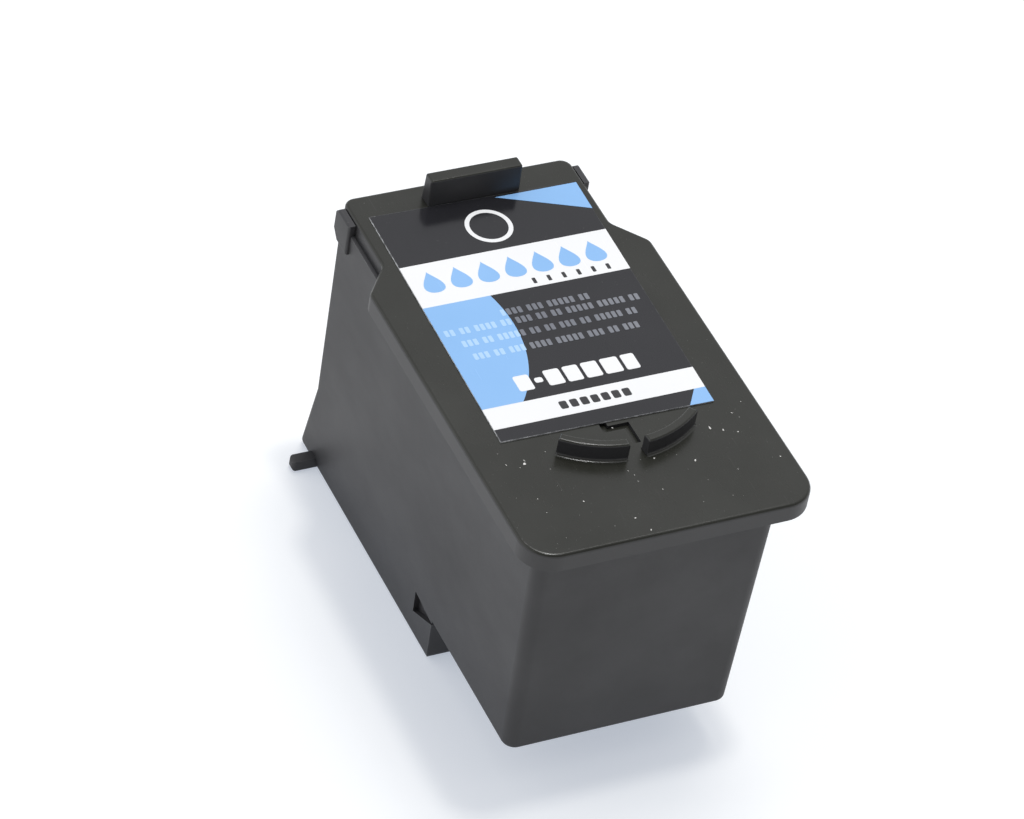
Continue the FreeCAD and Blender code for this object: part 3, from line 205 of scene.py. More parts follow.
def make_settled_dust():
    """Fine dust that lies on faces turned up, in patches of tiny grains."""
    tree, given, out = new_group("settled_dust", [("Grains", 7000.0), ("Cover", 0.5)], ["Mask"])
    sharpness = 14.0
    place = object_place(tree)
    facing = turned_up(tree, 0.2, 0.9)
    grains = noise(tree, place, given["Grains"], 1.0)
    limit = maths(tree, "SUBTRACT", 0.80, maths(tree, "MULTIPLY", given["Cover"], 0.10))
    specks = maths(tree, "MULTIPLY", maths(tree, "SUBTRACT", grains, limit), sharpness)
    patches = rescaled(tree, noise(tree, place, 160.0, 2.0), 0.4, 0.6, 0.2, 1.0)
    held = put(tree, "ShaderNodeClamp", {"Value": specks}).outputs[0]
    tree.links.new(maths(tree, "MULTIPLY", maths(tree, "MULTIPLY", held, patches), facing), out["Mask"])
    return tree


def make_print_skin():
    """The skin of a printed film: ink density that drifts, and a faint orange peel."""
    inputs = [("Peel", 700.0), ("Density", 60.0)]
    tree, given, out = new_group("print_skin", inputs, ["Height", "Density"])
    place = object_place(tree)
    tree.links.new(noise(tree, place, given["Peel"], 2.0), out["Height"])
    drift = maths(tree, "MULTIPLY", noise(tree, place, given["Density"], 3.0), 0.7)
    speckle = maths(tree, "MULTIPLY", noise(tree, place, 16000.0, 1.0), 0.3)
    tree.links.new(mask_from(tree, maths(tree, "ADD", drift, speckle), 0.35, 0.65), out["Density"])
    return tree


MOULDED_GRAIN = make_moulded_grain()
RUBBED_EDGES = make_rubbed_edges()
HANDLING = make_handling()
DUST = make_settled_dust()
PRINT_SKIN = make_print_skin()
DUST_COLOUR = (0.42, 0.42, 0.40, 1)


# Finishes

def new_finish(name):
    """An empty material with its Principled shader, ready for wires."""
    finish = bpy.data.materials.new(name)
    finish.use_nodes = True
    tree = finish.node_tree
    return finish, tree, tree.nodes["Principled BSDF"]


def wire(tree, shader, **sources):
    """Joins outputs or values to the shader's inputs; an underscore stands for a space."""
    for name, source in sources.items():
        socket = shader.inputs[name.replace("_", " ")]
        if isinstance(source, bpy.types.NodeSocket):
            tree.links.new(source, socket)
        else:
            socket.default_value = source


def bump(tree, height, depth, strength=1.0, under=None):
    """A normal from a height of 0 to 1 that stands for a depth in metres."""
    wires = {"Height": height, "Distance": depth, "Strength": strength}
    if under is not None:
        wires["Normal"] = under
    return put(tree, "ShaderNodeBump", wires).outputs["Normal"]


def tank_plastic():
    """Dark grey moulding with a matte, spark-eroded skin and edges rubbed a little shiny and paler; the
    paler edge colour is partly wear, partly a painted edge sheen.
    """
    finish, tree, shader = new_finish("tank_plastic_matte")
    grain = place_group(tree, MOULDED_GRAIN, Pits=8500.0, Blotches=110.0)
    edges = place_group(tree, RUBBED_EDGES, Reach=0.35 * MM)
    marks = place_group(tree, HANDLING, Smears=70.0)
    dust = place_group(tree, DUST, Cover=0.35)
    plain = blended(tree, grain["Blotch"], (0.034, 0.034, 0.037, 1), (0.043, 0.043, 0.047, 1))
    # Edges paler: partly rubbing wear, partly a painted edge sheen
    rubbed_and_sheen = blended(tree, edges["Mask"], plain, (0.060, 0.062, 0.066, 1))
    dusty = blended(tree, dust["Mask"], rubbed_and_sheen, DUST_COLOUR)
    base_gloss = spread(tree, marks["Smear"], 0.50, 0.60)
    gloss = maths(tree, "SUBTRACT", base_gloss, maths(tree, "MULTIPLY", edges["Mask"], 0.16))
    skin = bump(tree, grain["Height"], 0.012 * MM, 0.9)
    wire(tree, shader, Base_Color=dusty, Roughness=gloss, Normal=skin)
    return finish


def lid_plastic():
    """Black moulding: a polished top with slow ripples, smears and hairlines, and grained sides; the top
    is coloured darker and more olive than the sides, a painted shade, and its edges a little paler,
    partly wear and partly a painted sheen.
    """
    finish, tree, shader = new_finish("lid_plastic_gloss")
    grain = place_group(tree, MOULDED_GRAIN, Pits=6500.0, Blotches=75.0)
    edges = place_group(tree, RUBBED_EDGES, Reach=0.25 * MM)
    marks = place_group(tree, HANDLING, Smears=110.0, Hairlines=340.0)
    dust = place_group(tree, DUST, Cover=0.45)
    top = turned_up(tree, 0.25, 0.6)
    sides = blended(tree, grain["Blotch"], (0.034, 0.034, 0.036, 1), (0.042, 0.042, 0.045, 1))
    # The top's darker, olive colour is painted shade: the same plastic as the sides, coloured darker
    # where it faces up
    painted_shade_top = blended(tree, grain["Blotch"],
                       (0.0175, 0.0180, 0.0135, 1), (0.0260, 0.0268, 0.0215, 1))
    lined = blended(tree, marks["Hairline"], painted_shade_top, (0.034, 0.034, 0.030, 1))
    plain = blended(tree, top, sides, lined)
    # Edges a little paler: partly rubbing wear, partly a painted edge sheen
    wear_and_sheen = maths(tree, "MULTIPLY", edges["Mask"], 0.5)
    rubbed_and_sheen = blended(tree, wear_and_sheen, plain, (0.050, 0.050, 0.048, 1))
    dusty = blended(tree, dust["Mask"], rubbed_and_sheen, DUST_COLOUR)
    smeared = spread(tree, marks["Smear"], 0.24, 0.33)
    skin_gloss = spread(tree, top, 0.46, smeared)
    gloss = maths(tree, "SUBTRACT", skin_gloss, maths(tree, "MULTIPLY", edges["Mask"], 0.10))
    ripples = noise(tree, object_place(tree), 210.0, 2.0)
    wavy = bump(tree, ripples, 0.05 * MM, 0.35)
    strength = spread(tree, top, 0.9, 0.4)
    skin = bump(tree, grain["Height"], 0.008 * MM, strength, wavy)
    wire(tree, shader, Base_Color=dusty, Roughness=gloss, Normal=skin)
    return finish


def label_ground():
    """Glossy black film with a pale core that shows along the cut edge, most on the left side."""
    finish, tree, shader = new_finish("label_film_gloss")
    skin = place_group(tree, PRINT_SKIN, Peel=650.0)
    marks = place_group(tree, HANDLING, Smears=140.0, Hairlines=420.0)
    dust = place_group(tree, DUST, Grains=8000.0, Cover=0.2)
    cut = place_group(tree, RUBBED_EDGES, Reach=0.16 * MM, Breakup=1500.0)
    side = maths(tree, "SUBTRACT", 1.0, turned_up(tree, 0.3, 0.6))
    place = object_place(tree)
    axes = put(tree, "ShaderNodeSeparateXYZ", {0: place}).outputs
    torn_reach = 1.5 * MM
    torn_left = maths(tree, "LESS_THAN", axes["X"], film_low.x + torn_reach)
    torn_front = maths(tree, "LESS_THAN", axes["Y"], film_low.y + torn_reach)
    torn = maths(tree, "MAXIMUM", torn_left, maths(tree, "MULTIPLY", torn_front, 0.6))
    frayed = rescaled(tree, noise(tree, place, 1300.0, 4.0), 0.34, 0.54, 0.35, 1.0)
    bare = maths(tree, "MULTIPLY", frayed, maths(tree, "MAXIMUM", torn, 0.12))
    core = maths(tree, "MULTIPLY", maths(tree, "MAXIMUM", side, cut["Mask"]), bare)
    ground = blended(tree, skin["Density"],
                     (0.0155, 0.0155, 0.0185, 1), (0.0200, 0.0200, 0.0235, 1))
    edged = blended(tree, core, ground, (0.88, 0.90, 0.92, 1))
    dusty = blended(tree, dust["Mask"], edged, DUST_COLOUR)
    gloss = spread(tree, marks["Smear"], 0.15, 0.24)
    peel = bump(tree, skin["Height"], 0.012 * MM, 0.5)
    wire(tree, shader, Base_Color=dusty, Roughness=gloss, Normal=peel)
    return finish


def label_ink(name, thin, dense, gloss):
    """A printed field of one ink on the film."""
    finish, tree, shader = new_finish(name)
    skin = place_group(tree, PRINT_SKIN, Peel=650.0)
    marks = place_group(tree, HANDLING, Smears=140.0, Hairlines=420.0)
    ink = blended(tree, skin["Density"], thin, dense)
    smeared = spread(tree, marks["Smear"], *gloss)
    scratched = maths(tree, "ADD", smeared, maths(tree, "MULTIPLY", marks["Hairline"], 0.2))
    peel = bump(tree, skin["Height"], 0.012 * MM, 0.5)
    wire(tree, shader, Base_Color=ink, Roughness=scratched, Normal=peel)
    return finish


def soaked_fibre():
    """Bonded polyester fibre, soaked black: tangled strands with a wet sheen."""
    finish, tree, shader = new_finish("absorber_fibre_soaked")
    place = object_place(tree)
    lengthwise = noise(tree, stretched(tree, place, (1.0, 0.08, 1.0)), 5000.0, 3.0)
    crosswise = noise(tree, stretched(tree, place, (0.08, 1.0, 1.0)), 4200.0, 3.0)
    strands = maths(tree, "MAXIMUM", lengthwise, crosswise)
    wet = noise(tree, place, 250.0, 2.0)
    colour = blended(tree, strands, (0.006, 0.006, 0.009, 1), (0.030, 0.030, 0.040, 1))
    gloss = rescaled(tree, wet, 0.3, 0.7, 0.25, 0.7)
    wire(tree, shader, Base_Color=colour, Roughness=gloss, Normal=bump(tree, strands, 0.15 * MM))
    return finish


def steel_mesh():
    """Fine woven steel: two sets of wires that cross."""
    finish, tree, shader = new_finish("filter_mesh_woven")
    place = object_place(tree)
    weave_scale = 3000.0
    woven = maths(tree, "MAXIMUM",
                  waves(tree, place, weave_scale, "X"), waves(tree, place, weave_scale, "Y"))
    colour = blended(tree, woven, (0.05, 0.05, 0.05, 1), (0.62, 0.61, 0.58, 1))
    relief = bump(tree, woven, 0.02 * MM)
    wire(tree, shader, Base_Color=colour, Metallic=1.0, Roughness=0.38, Normal=relief)
    return finish


def nozzle_film():
    """Dark amber photopolymer over the chip: smooth, with the faint plan of the ink chambers."""
    finish, tree, shader = new_finish("nozzle_layer_polymer")
    place = object_place(tree)
    chambers = waves(tree, place, 2600.0, "Y")
    across = put(tree, "ShaderNodeSeparateXYZ", {0: place}).outputs["X"]
    chamber_reach = 0.75 * MM
    near_slot = maths(tree, "LESS_THAN", maths(tree, "ABSOLUTE", across), chamber_reach)
    shown = maths(tree, "MULTIPLY", chambers, near_slot)
    colour = blended(tree, shown, (0.14, 0.095, 0.045, 1), (0.26, 0.19, 0.10, 1))
    haze = rescaled(tree, noise(tree, place, 900.0), 0.4, 0.6, 0.0, 0.4)
    tint = blended(tree, haze, colour, (0.10, 0.09, 0.12, 1))
    relief = bump(tree, chambers, 0.002 * MM, 0.4)
    wire(tree, shader, Base_Color=tint, Roughness=0.14, Normal=relief)
    return finish


def polished_silicon():
    """Mirror-polished silicon with the fine lines left by the dicing saw on its sides."""
    finish, tree, shader = new_finish("chip_silicon_polished")
    place = object_place(tree)
    saw = noise(tree, stretched(tree, place, (1.0, 1.0, 0.02)), 9000.0, 2.0)
    colour = blended(tree, saw, (0.20, 0.21, 0.24, 1), (0.34, 0.36, 0.40, 1))
    gloss = rescaled(tree, saw, 0.3, 0.7, 0.08, 0.3)
    wire(tree, shader, Base_Color=colour, Metallic=0.9, Roughness=gloss)
    return finish


def cured_compound():
    """Black sealing compound, dispensed as a bead and cured: satin, with slow lumps and pinholes."""
    finish, tree, shader = new_finish("sealing_compound_satin")
    place = object_place(tree)
    lumps = noise(tree, place, 900.0, 2.0)
    pinholes = rescaled(tree, noise(tree, place, 5200.0, 1.0), 0.72, 0.78, 1.0, 0.0)
    height = maths(tree, "MULTIPLY", lumps, pinholes)
    colour = blended(tree, lumps, (0.012, 0.012, 0.014, 1), (0.026, 0.026, 0.028, 1))
    gloss = rescaled(tree, lumps, 0.3, 0.7, 0.26, 0.42)
    wire(tree, shader, Base_Color=colour, Roughness=gloss, Normal=bump(tree, height, 0.05 * MM, 0.8))
    return finish


def amber_tape():
    """Polyimide film: amber brown and glossy, with a fine calender grain over a mottled glue line."""
    finish, tree, shader = new_finish("wiring_tape_polyimide")
    place = object_place(tree)
    glue = mask_from(tree, noise(tree, place, 380.0, 4.0, 0.6), 0.35, 0.65)
    calender = noise(tree, stretched(tree, place, (1.0, 0.1, 0.1)), 3000.0, 1.0)
    colour = blended(tree, glue, (0.235, 0.092, 0.013, 1), (0.285, 0.116, 0.018, 1))
    gloss = rescaled(tree, calender, 0.3, 0.7, 0.20, 0.32)
    relief = bump(tree, calender, 0.002 * MM, 0.4)
    wire(tree, shader, Base_Color=colour, Roughness=gloss, Normal=relief,
         Coat_Weight=0.25, Coat_Roughness=0.08)
    return finish


def buried_copper():
    """Copper under the amber film: darker and redder than bare copper, softened by the film."""
    finish, tree, shader = new_finish("tape_traces_copper")
    rolled = noise(tree, stretched(tree, object_place(tree), (1.0, 1.0, 0.05)), 9000.0, 2.0)
    colour = blended(tree, rolled, (0.50, 0.200, 0.045, 1), (0.66, 0.290, 0.080, 1))
    gloss = rescaled(tree, rolled, 0.3, 0.7, 0.24, 0.36)
    wire(tree, shader, Base_Color=colour, Metallic=0.45, Roughness=gloss)
    return finish


def gold_plate():
    """Hard gold on the contacts, with upright wipe marks where the printer's pins have slid."""
    finish, tree, shader = new_finish("contact_pads_gold")
    place = object_place(tree)
    wipes = noise(tree, stretched(tree, place, (1.0, 1.0, 0.04)), 12000.0, 3.0)
    tarnish = mask_from(tree, noise(tree, place, 700.0, 3.0), 0.4, 0.65)
    colour = blended(tree, tarnish, (0.90, 0.63, 0.25, 1), (0.84, 0.56, 0.20, 1))
    gloss = rescaled(tree, wipes, 0.3, 0.7, 0.16, 0.36)
    relief = bump(tree, wipes, 0.004 * MM, 0.7)
    wire(tree, shader, Base_Color=colour, Metallic=1.0, Roughness=gloss, Normal=relief)
    return finish


def speck_finish():
    """Pale lint and plastic dust."""
    finish, tree, shader = new_finish("dust_specks_pale")
    tone = noise(tree, object_place(tree), 3000.0, 2.0)
    colour = blended(tree, tone, (0.75, 0.74, 0.70, 1), (0.95, 0.94, 0.92, 1))
    wire(tree, shader, Base_Color=colour, Roughness=0.85)
    return finish


TANK_PLASTIC = tank_plastic()
LID_PLASTIC = lid_plastic()
LABEL_GROUND = label_ground()
WHITE_INK = label_ink("label_white_ink", gloss=(0.16, 0.26),
                      thin=(0.91, 0.92, 0.93, 1), dense=(0.95, 0.955, 0.96, 1))
BLUE_INK = label_ink("label_blue_ink", gloss=(0.16, 0.26),
                     thin=(0.262, 0.510, 0.870, 1), dense=(0.300, 0.548, 0.925, 1))
BLACK_INK = label_ink("label_black_ink", gloss=(0.20, 0.30),
                      thin=(0.030, 0.030, 0.033, 1), dense=(0.042, 0.042, 0.046, 1))
GREY_INK = label_ink("label_grey_ink", gloss=(0.18, 0.28),
                     thin=(0.15, 0.16, 0.19, 1), dense=(0.25, 0.26, 0.29, 1))
PALE_INK = label_ink("label_pale_ink", gloss=(0.18, 0.28),
                     thin=(0.42, 0.66, 0.94, 1), dense=(0.52, 0.74, 0.98, 1))
SEALANT = cured_compound()
COPPER = buried_copper()


def dress(node, finish):
    """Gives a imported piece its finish."""
    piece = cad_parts[node]
    if not piece.material_slots:
        piece.data.materials.append(finish)
    for place in piece.material_slots:
        place.material = finish


for node, finish in {
    "tank_body": TANK_PLASTIC,
    "tank_lid": LID_PLASTIC,
    "label_film": LABEL_GROUND,
    "label_white_print": WHITE_INK,
    "label_blue_print": BLUE_INK,
    "ink_absorber": soaked_fibre(),
    "filter_screen": steel_mesh(),
    "nozzle_layer": nozzle_film(),
    "silicon_chip": polished_silicon(),
    "chip_bond": SEALANT,
    "chip_sealant": SEALANT,
    "lead_sealant": SEALANT,
    "wiring_tape": amber_tape(),
    "contact_pads": gold_plate(),
}.items():
    dress(node, finish)


# Meshes of the added detail

def new_piece(name, mesh, finish):
    """A piece made from a bmesh that rides on the cartridge."""
    data = bpy.data.meshes.new(name)
    bmesh.ops.recalc_face_normals(mesh, faces=mesh.faces)
    mesh.to_mesh(data)
    mesh.free()
    data.materials.append(finish)
    piece = bpy.data.objects.new(name, data)
    bpy.context.scene.collection.objects.link(piece)
    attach(piece, "root")
    return piece


def add_tube(mesh, rings):
    """A closed skin through a row of vertex rings: walls from ring to ring and a cap at both ends."""
    count = len(rings[0])
    for first, second in zip(rings, rings[1:]):
        for edge in range(count):
            after = (edge + 1) % count
            mesh.faces.new((first[edge], first[after], second[after], second[edge]))
    mesh.faces.new(rings[0][::-1])
    mesh.faces.new(rings[-1])


def add_prism(mesh, points, low, high):
    """A flat plate with an outline of (x, y) points, between two heights."""
    add_tube(mesh, [[mesh.verts.new((x, y, height)) for x, y in points] for height in (low, high)])


def soft_block(left, right, low, high, corner):
    """Outline of a rectangle with rounded corners."""
    steps = 4
    points = []
    for x, y, start in ((right - corner, low + corner, -90), (right - corner, high - corner, 0),
                        (left + corner, high - corner, 90), (left + corner, low + corner, 180)):
        for step in range(steps + 1):
            angle = math.radians(start + 90 * step / steps)
            points.append((x + corner * math.cos(angle), y + corner * math.sin(angle)))
    return points


def drop_outline(across, along, radius):
    """Outline of an ink drop with its point away from the label's front."""
    steps = 28
    breadth, length, taper = 1.25, 1.2, 1.6
    points = []
    for step in range(steps):
        angle = 2 * math.pi * step / steps
        half_width = radius * breadth * math.sin(angle) * math.sin(angle / 2) ** taper
        points.append((across + half_width, along + radius * length * math.cos(angle)))
    return points


def mark(left, along, width, height, corner):
    """Outline of one printed block, from its left end and the middle of its height."""
    return soft_block(left, left + width, along - height / 2, along + height / 2, corner)


def even_marks(count, first, pitch, along, width, height, corner):
    """Outlines of a row of equal blocks."""
    return [mark(first + number * pitch, along, width, height, corner) for number in range(count)]


# Generic print on the label, placed from the label's front edge

LABEL_FRONT = lid_low.y + 18.0 * MM
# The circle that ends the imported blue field
BLUE_MIDDLE = Vector((-23.5 * MM, LABEL_FRONT + 17.9 * MM))
BLUE_RADIUS = 19.5 * MM
INK_LIFT = 0.008 * MM


def add_print(name, outlines, finish):
    """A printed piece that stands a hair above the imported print."""
    mesh = bmesh.new()
    for outline in outlines:
        add_prism(mesh, outline, film_high.z, PRINT_TOP + INK_LIFT)
    return new_piece(name, mesh, finish)


def print_drops():
    """A row of pale blue ink drops along the rear white band."""
    count, first, pitch, radius = 7, -10.3 * MM, 3.45 * MM, 1.5 * MM
    along = LABEL_FRONT + 26.9 * MM
    return [drop_outline(first + pitch * number, along, radius) for number in range(count)]


def tick_row(rng, left, right, along, width, height):
    """A row of upright ticks in groups of two to five, as (middle, outline) pairs."""
    pitch, group_gap = width * 1.42, width * 0.95
    ticks = []
    place = left
    while place < right:
        for _ in range(rng.randint(2, 5)):
            if place + width > right:
                break
            ticks.append((place + width / 2, mark(place, along, width, height, width / 4)))
            place += pitch
        place += group_gap
    return ticks


def print_fine_rows():
    """Four rows of fine ticks: pale where they cross the blue field, and grey on the black."""
    rng = random.Random(7)
    width, height = 0.5 * MM, 1.05 * MM
    # Each row's place along the label, its left end and its right end, in millimetres
    rows = ((19.9, -4.7, 6.6), (18.3, -12.5, 12.6), (16.2, -11.2, 11.3), (13.9, -10.8, 10.1))
    grey, pale = [], []
    for along, left, right in rows:
        line = LABEL_FRONT + along * MM
        for middle, outline in tick_row(rng, left * MM, right * MM, line, width, height):
            reach = (Vector((middle, line)) - BLUE_MIDDLE).length
            if reach < BLUE_RADIUS:
                pale.append(outline)
            else:
                grey.append(outline)
    return grey, pale


def print_gauge():
    """A row of white blocks, like a level gauge, near the front band."""
    # The blocks' sizes, in millimetres
    widths = (1.9, 1.0, 2.0, 1.9, 2.0, 2.2, 1.7)
    heights = (2.5, 0.8, 2.5, 2.5, 2.5, 2.5, 2.5)
    gap, corner = 0.42 * MM, 0.28 * MM
    along = LABEL_FRONT + 8.4 * MM
    left = -8.0 * MM
    outlines = []
    for width, height in zip(widths, heights):
        outlines.append(mark(left, along, width * MM, height * MM, corner))
        left += width * MM + gap
    return outlines


def print_band_ticks():
    """Seven black ticks in the middle of the front band."""
    count, pitch = 7, 1.32 * MM
    return even_marks(count, first=-count / 2 * pitch, pitch=pitch, along=LABEL_FRONT + 3.85 * MM,
                      width=0.95 * MM, height=1.25 * MM, corner=0.22 * MM)


def print_small_ticks():
    """Six small black ticks below the drops."""
    return even_marks(count=6, first=1.2 * MM, pitch=1.9 * MM, along=LABEL_FRONT + 24.0 * MM,
                      width=0.45 * MM, height=0.95 * MM, corner=0.1 * MM)


grey_rows, pale_rows = print_fine_rows()
add_print("label_print_drops", print_drops(), BLUE_INK)
add_print("label_print_grey_rows", grey_rows, GREY_INK)
add_print("label_print_pale_rows", pale_rows, PALE_INK)
add_print("label_print_gauge", print_gauge(), WHITE_INK)
add_print("label_print_band_ticks", print_band_ticks(), BLACK_INK)
add_print("label_print_small_ticks", print_small_ticks(), BLACK_INK)


# Copper traces on the wiring tape, drawn on the tape laid flat: across it, and down from its top edge

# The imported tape's outer face turns under the head at this radius
TAPE_BEND = 1.02 * MM
UPRIGHT_RUN = tape_high.z - tape_low.z - TAPE_BEND
BEND_RUN = TAPE_BEND * math.pi / 2
TRACE_WIDTH = 0.11 * MM
TRACE_LIFT = 0.012 * MM
BEND_STEPS = 8
PAD_COLUMNS = 8
PAD_ROWS = 4


def on_tape(across, down, lift):
    """The point at a place on the flat tape, lifted off its outer face."""
    radius = TAPE_BEND + lift
    if down <= UPRIGHT_RUN:
        return Vector((across, tape_high.y + lift, tape_high.z - down))
    if down <= UPRIGHT_RUN + BEND_RUN:
        angle = (down - UPRIGHT_RUN) / TAPE_BEND
        return Vector((across, tape_high.y - TAPE_BEND + radius * math.cos(angle),
                       tape_low.z + TAPE_BEND - radius * math.sin(angle)))
    behind = down - UPRIGHT_RUN - BEND_RUN
    return Vector((across, tape_high.y - TAPE_BEND - behind, tape_low.z - lift))


def down_at_height(height):
    """Distance down the tape of a place on the upright land, from its Z."""
    return tape_high.z - height


def down_at_depth(depth):
    """Distance down the tape of a place below the head, from its Y."""
    return UPRIGHT_RUN + BEND_RUN + (tape_high.y - TAPE_BEND - depth)


def subdivided(route):
    """The route with points added where it crosses the bend, so that a trace follows it."""
    steps = [UPRIGHT_RUN + BEND_RUN * number / BEND_STEPS for number in range(BEND_STEPS + 1)]
    points = [Vector(route[0])]
    for start, end in zip(route, route[1:]):
        start, end = Vector(start), Vector(end)
        fall = end.y - start.y
        shares = [(step - start.y) / fall for step in steps] if fall else []
        for share in sorted(share for share in shares if 0 < share < 1):
            points.append(start.lerp(end, share))
        points.append(end)
    return points


def add_trace(mesh, route):
    """A copper ribbon along a route of flat places, with mitred turns and a low raised section."""
    # The section: shares of half the width, and heights over the tape
    section = ((-1.0, -TRACE_LIFT), (-0.8, TRACE_LIFT), (0.8, TRACE_LIFT), (1.0, -TRACE_LIFT))
    mitre_limit = 0.5
    points = subdivided(route)
    rims = []
    for index, point in enumerate(points):
        before = (point - points[max(index - 1, 0)]).normalized()
        after = (points[min(index + 1, len(points) - 1)] - point).normalized()
        heading = (before + after).normalized()
        aside = Vector((-heading.y, heading.x))
        known = after if index == 0 else before
        mitre = max(abs(aside.dot(Vector((-known.y, known.x)))), mitre_limit)
        aside *= TRACE_WIDTH / 2 / mitre
        rim = []
        for share, lift in section:
            place = point + aside * share
            rim.append(mesh.verts.new(on_tape(place.x, place.y, lift)))
        rims.append(rim)
    add_tube(mesh, rims)


def leave_pad(column, row):
    """The start of a trace: from its pad to the lane it runs down in. Gives the route and the lane."""
    pad_width, pad_height = 1.5 * MM, 2.1 * MM
    pitch_across = (pads_high.x - pads_low.x - pad_width) / (PAD_COLUMNS - 1)
    pitch_up = (pads_high.z - pads_low.z - pad_height) / (PAD_ROWS - 1)
    lane_first, lane_pitch = 0.95 * MM, 0.2 * MM
    middle = (column + 0.5) * pitch_across
    down = down_at_height(pads_low.z + pad_height / 2 + row * pitch_up)
    if row == 0:
        return [(middle, down + pad_height / 2)], middle
    lane = middle + lane_first + lane_pitch * (PAD_ROWS - 1 - row)
    pad_edge = middle + pad_width / 2
    return [(pad_edge, down), (lane, down + lane - pad_edge)], lane


def trace_routes():
    """One route for each pad: inner columns to the chip's rear end, outer columns to its front end."""
    lead_first, lead_pitch = 0.10 * MM, 0.20 * MM
    side_first, side_pitch = 2.6 * MM, 0.62 * MM
    window_margin = 0.3 * MM
    rear = down_at_depth(bead_high.y - window_margin)
    front = down_at_depth(bead_low.y + window_margin)
    fan_start, fan_pitch, outer_delay = down_at_height(pads_low.z) + 1.2 * MM, 0.25 * MM, 1.5 * MM
    rear_turn, rear_pitch = rear - 0.5 * MM, 0.1 * MM
    side_turn = rear - 0.6 * MM
    front_turn, front_pitch = front + 0.25 * MM, 0.15 * MM
    inner_columns = 2
    inner_count = inner_columns * PAD_ROWS
    routes = []
    for side in (-1, 1):
        for column in range(PAD_COLUMNS // 2):
            for row in range(PAD_ROWS):
                run, lane = leave_pad(column, row)
                order = (column * PAD_ROWS + row) % inner_count
                end = lead_first + lead_pitch * order
                fan = fan_start + fan_pitch * order
                if column < inner_columns:
                    turn = rear_turn - rear_pitch * (inner_count - 1 - order)
                    run += [(lane, fan), (end, turn), (end, rear)]
                else:
                    beside = side_first + side_pitch * order
                    turn = front_turn + front_pitch * order
                    run += [(lane, fan + outer_delay), (beside, side_turn), (beside, turn),
                            (end, turn), (end, front)]
                routes.append([(side * across, down) for across, down in run])
    return routes


def add_traces():
    """All the copper traces in one piece."""
    mesh = bmesh.new()
    for route in trace_routes():
        add_trace(mesh, route)
    return new_piece("tape_copper_traces", mesh, COPPER)


add_traces()


# Two rows of nozzles in the layer over the chip

def add_nozzles():
    """Dimples with a raised lip, in two rows beside the ink slot that stand half a step apart."""
    pitch = 0.0847 * MM
    row_offset, end_margin = 0.42 * MM, 1.2 * MM
    corners = 8
    # Radius and lift of each ring, from the lip's foot into the hole
    profile = ((0.034 * MM, 0.0), (0.028 * MM, 0.004 * MM),
               (0.018 * MM, 0.004 * MM), (0.014 * MM, -0.004 * MM))
    count = int((layer_high.y - layer_low.y - 2 * end_margin) / pitch)
    middle = (layer_low.y + layer_high.y) / 2
    mesh = bmesh.new()
    for side in (-1, 1):
        for number in range(count):
            along = middle + (number - (count - 1) / 2 + side / 4) * pitch
            rings = []
            for radius, lift in profile:
                ring = []
                for step in range(corners):
                    angle = 2 * math.pi * step / corners
                    ring.append(mesh.verts.new((side * row_offset + radius * math.cos(angle),
                                                along + radius * math.sin(angle), layer_low.z - lift)))
                rings.append(ring)
            add_tube(mesh, rings)
    return new_piece("nozzle_rows", mesh, SEALANT)


add_nozzles()


# Specks of lint and plastic dust on the lid

# Each one's place across the lid, its place behind the front edge and its size, in millimetres
SPECKS = ((-12.4, 14.4, 0.24), (-12.2, 14.9, 0.18), (-14.5, 14.8, 0.12), (-8.5, 7.1, 0.17),
          (-4.0, 3.1, 0.18), (-3.1, 0.9, 0.13), (10.5, 13.9, 0.24), (11.9, 13.2, 0.19),
          (13.4, 12.5, 0.14), (14.1, 15.5, 0.12), (16.3, 7.5, 0.14), (6.6, 9.6, 0.15),
          (1.0, 6.4, 0.10), (-13.3, 8.9, 0.09), (10.7, 7.0, 0.09), (-0.3, 17.0, 0.18),
          (2.2, 11.2, 0.11))


def add_specks():
    """Each speck is a small crumpled flake; finer ones lie between the larger."""
    rng = random.Random(11)
    fine_count = 26
    across_range, behind_range, fine_sizes = (-16, 16), (1.5, 17), (0.04, 0.07)
    swell, crumple, rise, flatness = 1.8, 0.12, 0.12, 0.35
    places = list(SPECKS)
    for _ in range(fine_count):
        places.append((rng.uniform(*across_range), rng.uniform(*behind_range), rng.uniform(*fine_sizes)))
    mesh = bmesh.new()
    for across, behind, size in places:
        length = size * swell * MM
        spin = Matrix.Rotation(rng.uniform(0, math.pi), 4, "Z")
        stretch = Matrix.Diagonal((rng.uniform(0.6, 1.4), rng.uniform(0.4, 0.8), flatness, 1))
        centre = Matrix.Translation((across * MM, lid_low.y + behind * MM, LID_TOP + length * rise))
        made = bmesh.ops.create_icosphere(mesh, subdivisions=1, radius=length / 2,
                                          matrix=centre @ spin @ stretch)
        for vert in made["verts"]:
            shove = Vector((rng.uniform(-1, 1), rng.uniform(-1, 1), rng.uniform(-0.3, 0.3)))
            vert.co += shove * length * crumple
    return new_piece("lid_dust_specks", mesh, speck_finish())


add_specks()


# Soft fillets at the feet of the lid's two raised arcs

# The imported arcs: their centre, outer radius and width, and their start and span in degrees
ARC_CENTRE = Vector((0.4 * MM, lid_low.y + 25.5 * MM))
ARC_OUTER = 13.7 * MM
ARC_WIDTH = 1.15 * MM
ARC_START = 5.0
ARC_SPAN = 34.5
FOOT_RADIUS = 0.32 * MM
FOOT_OVERLAP = 0.03 * MM


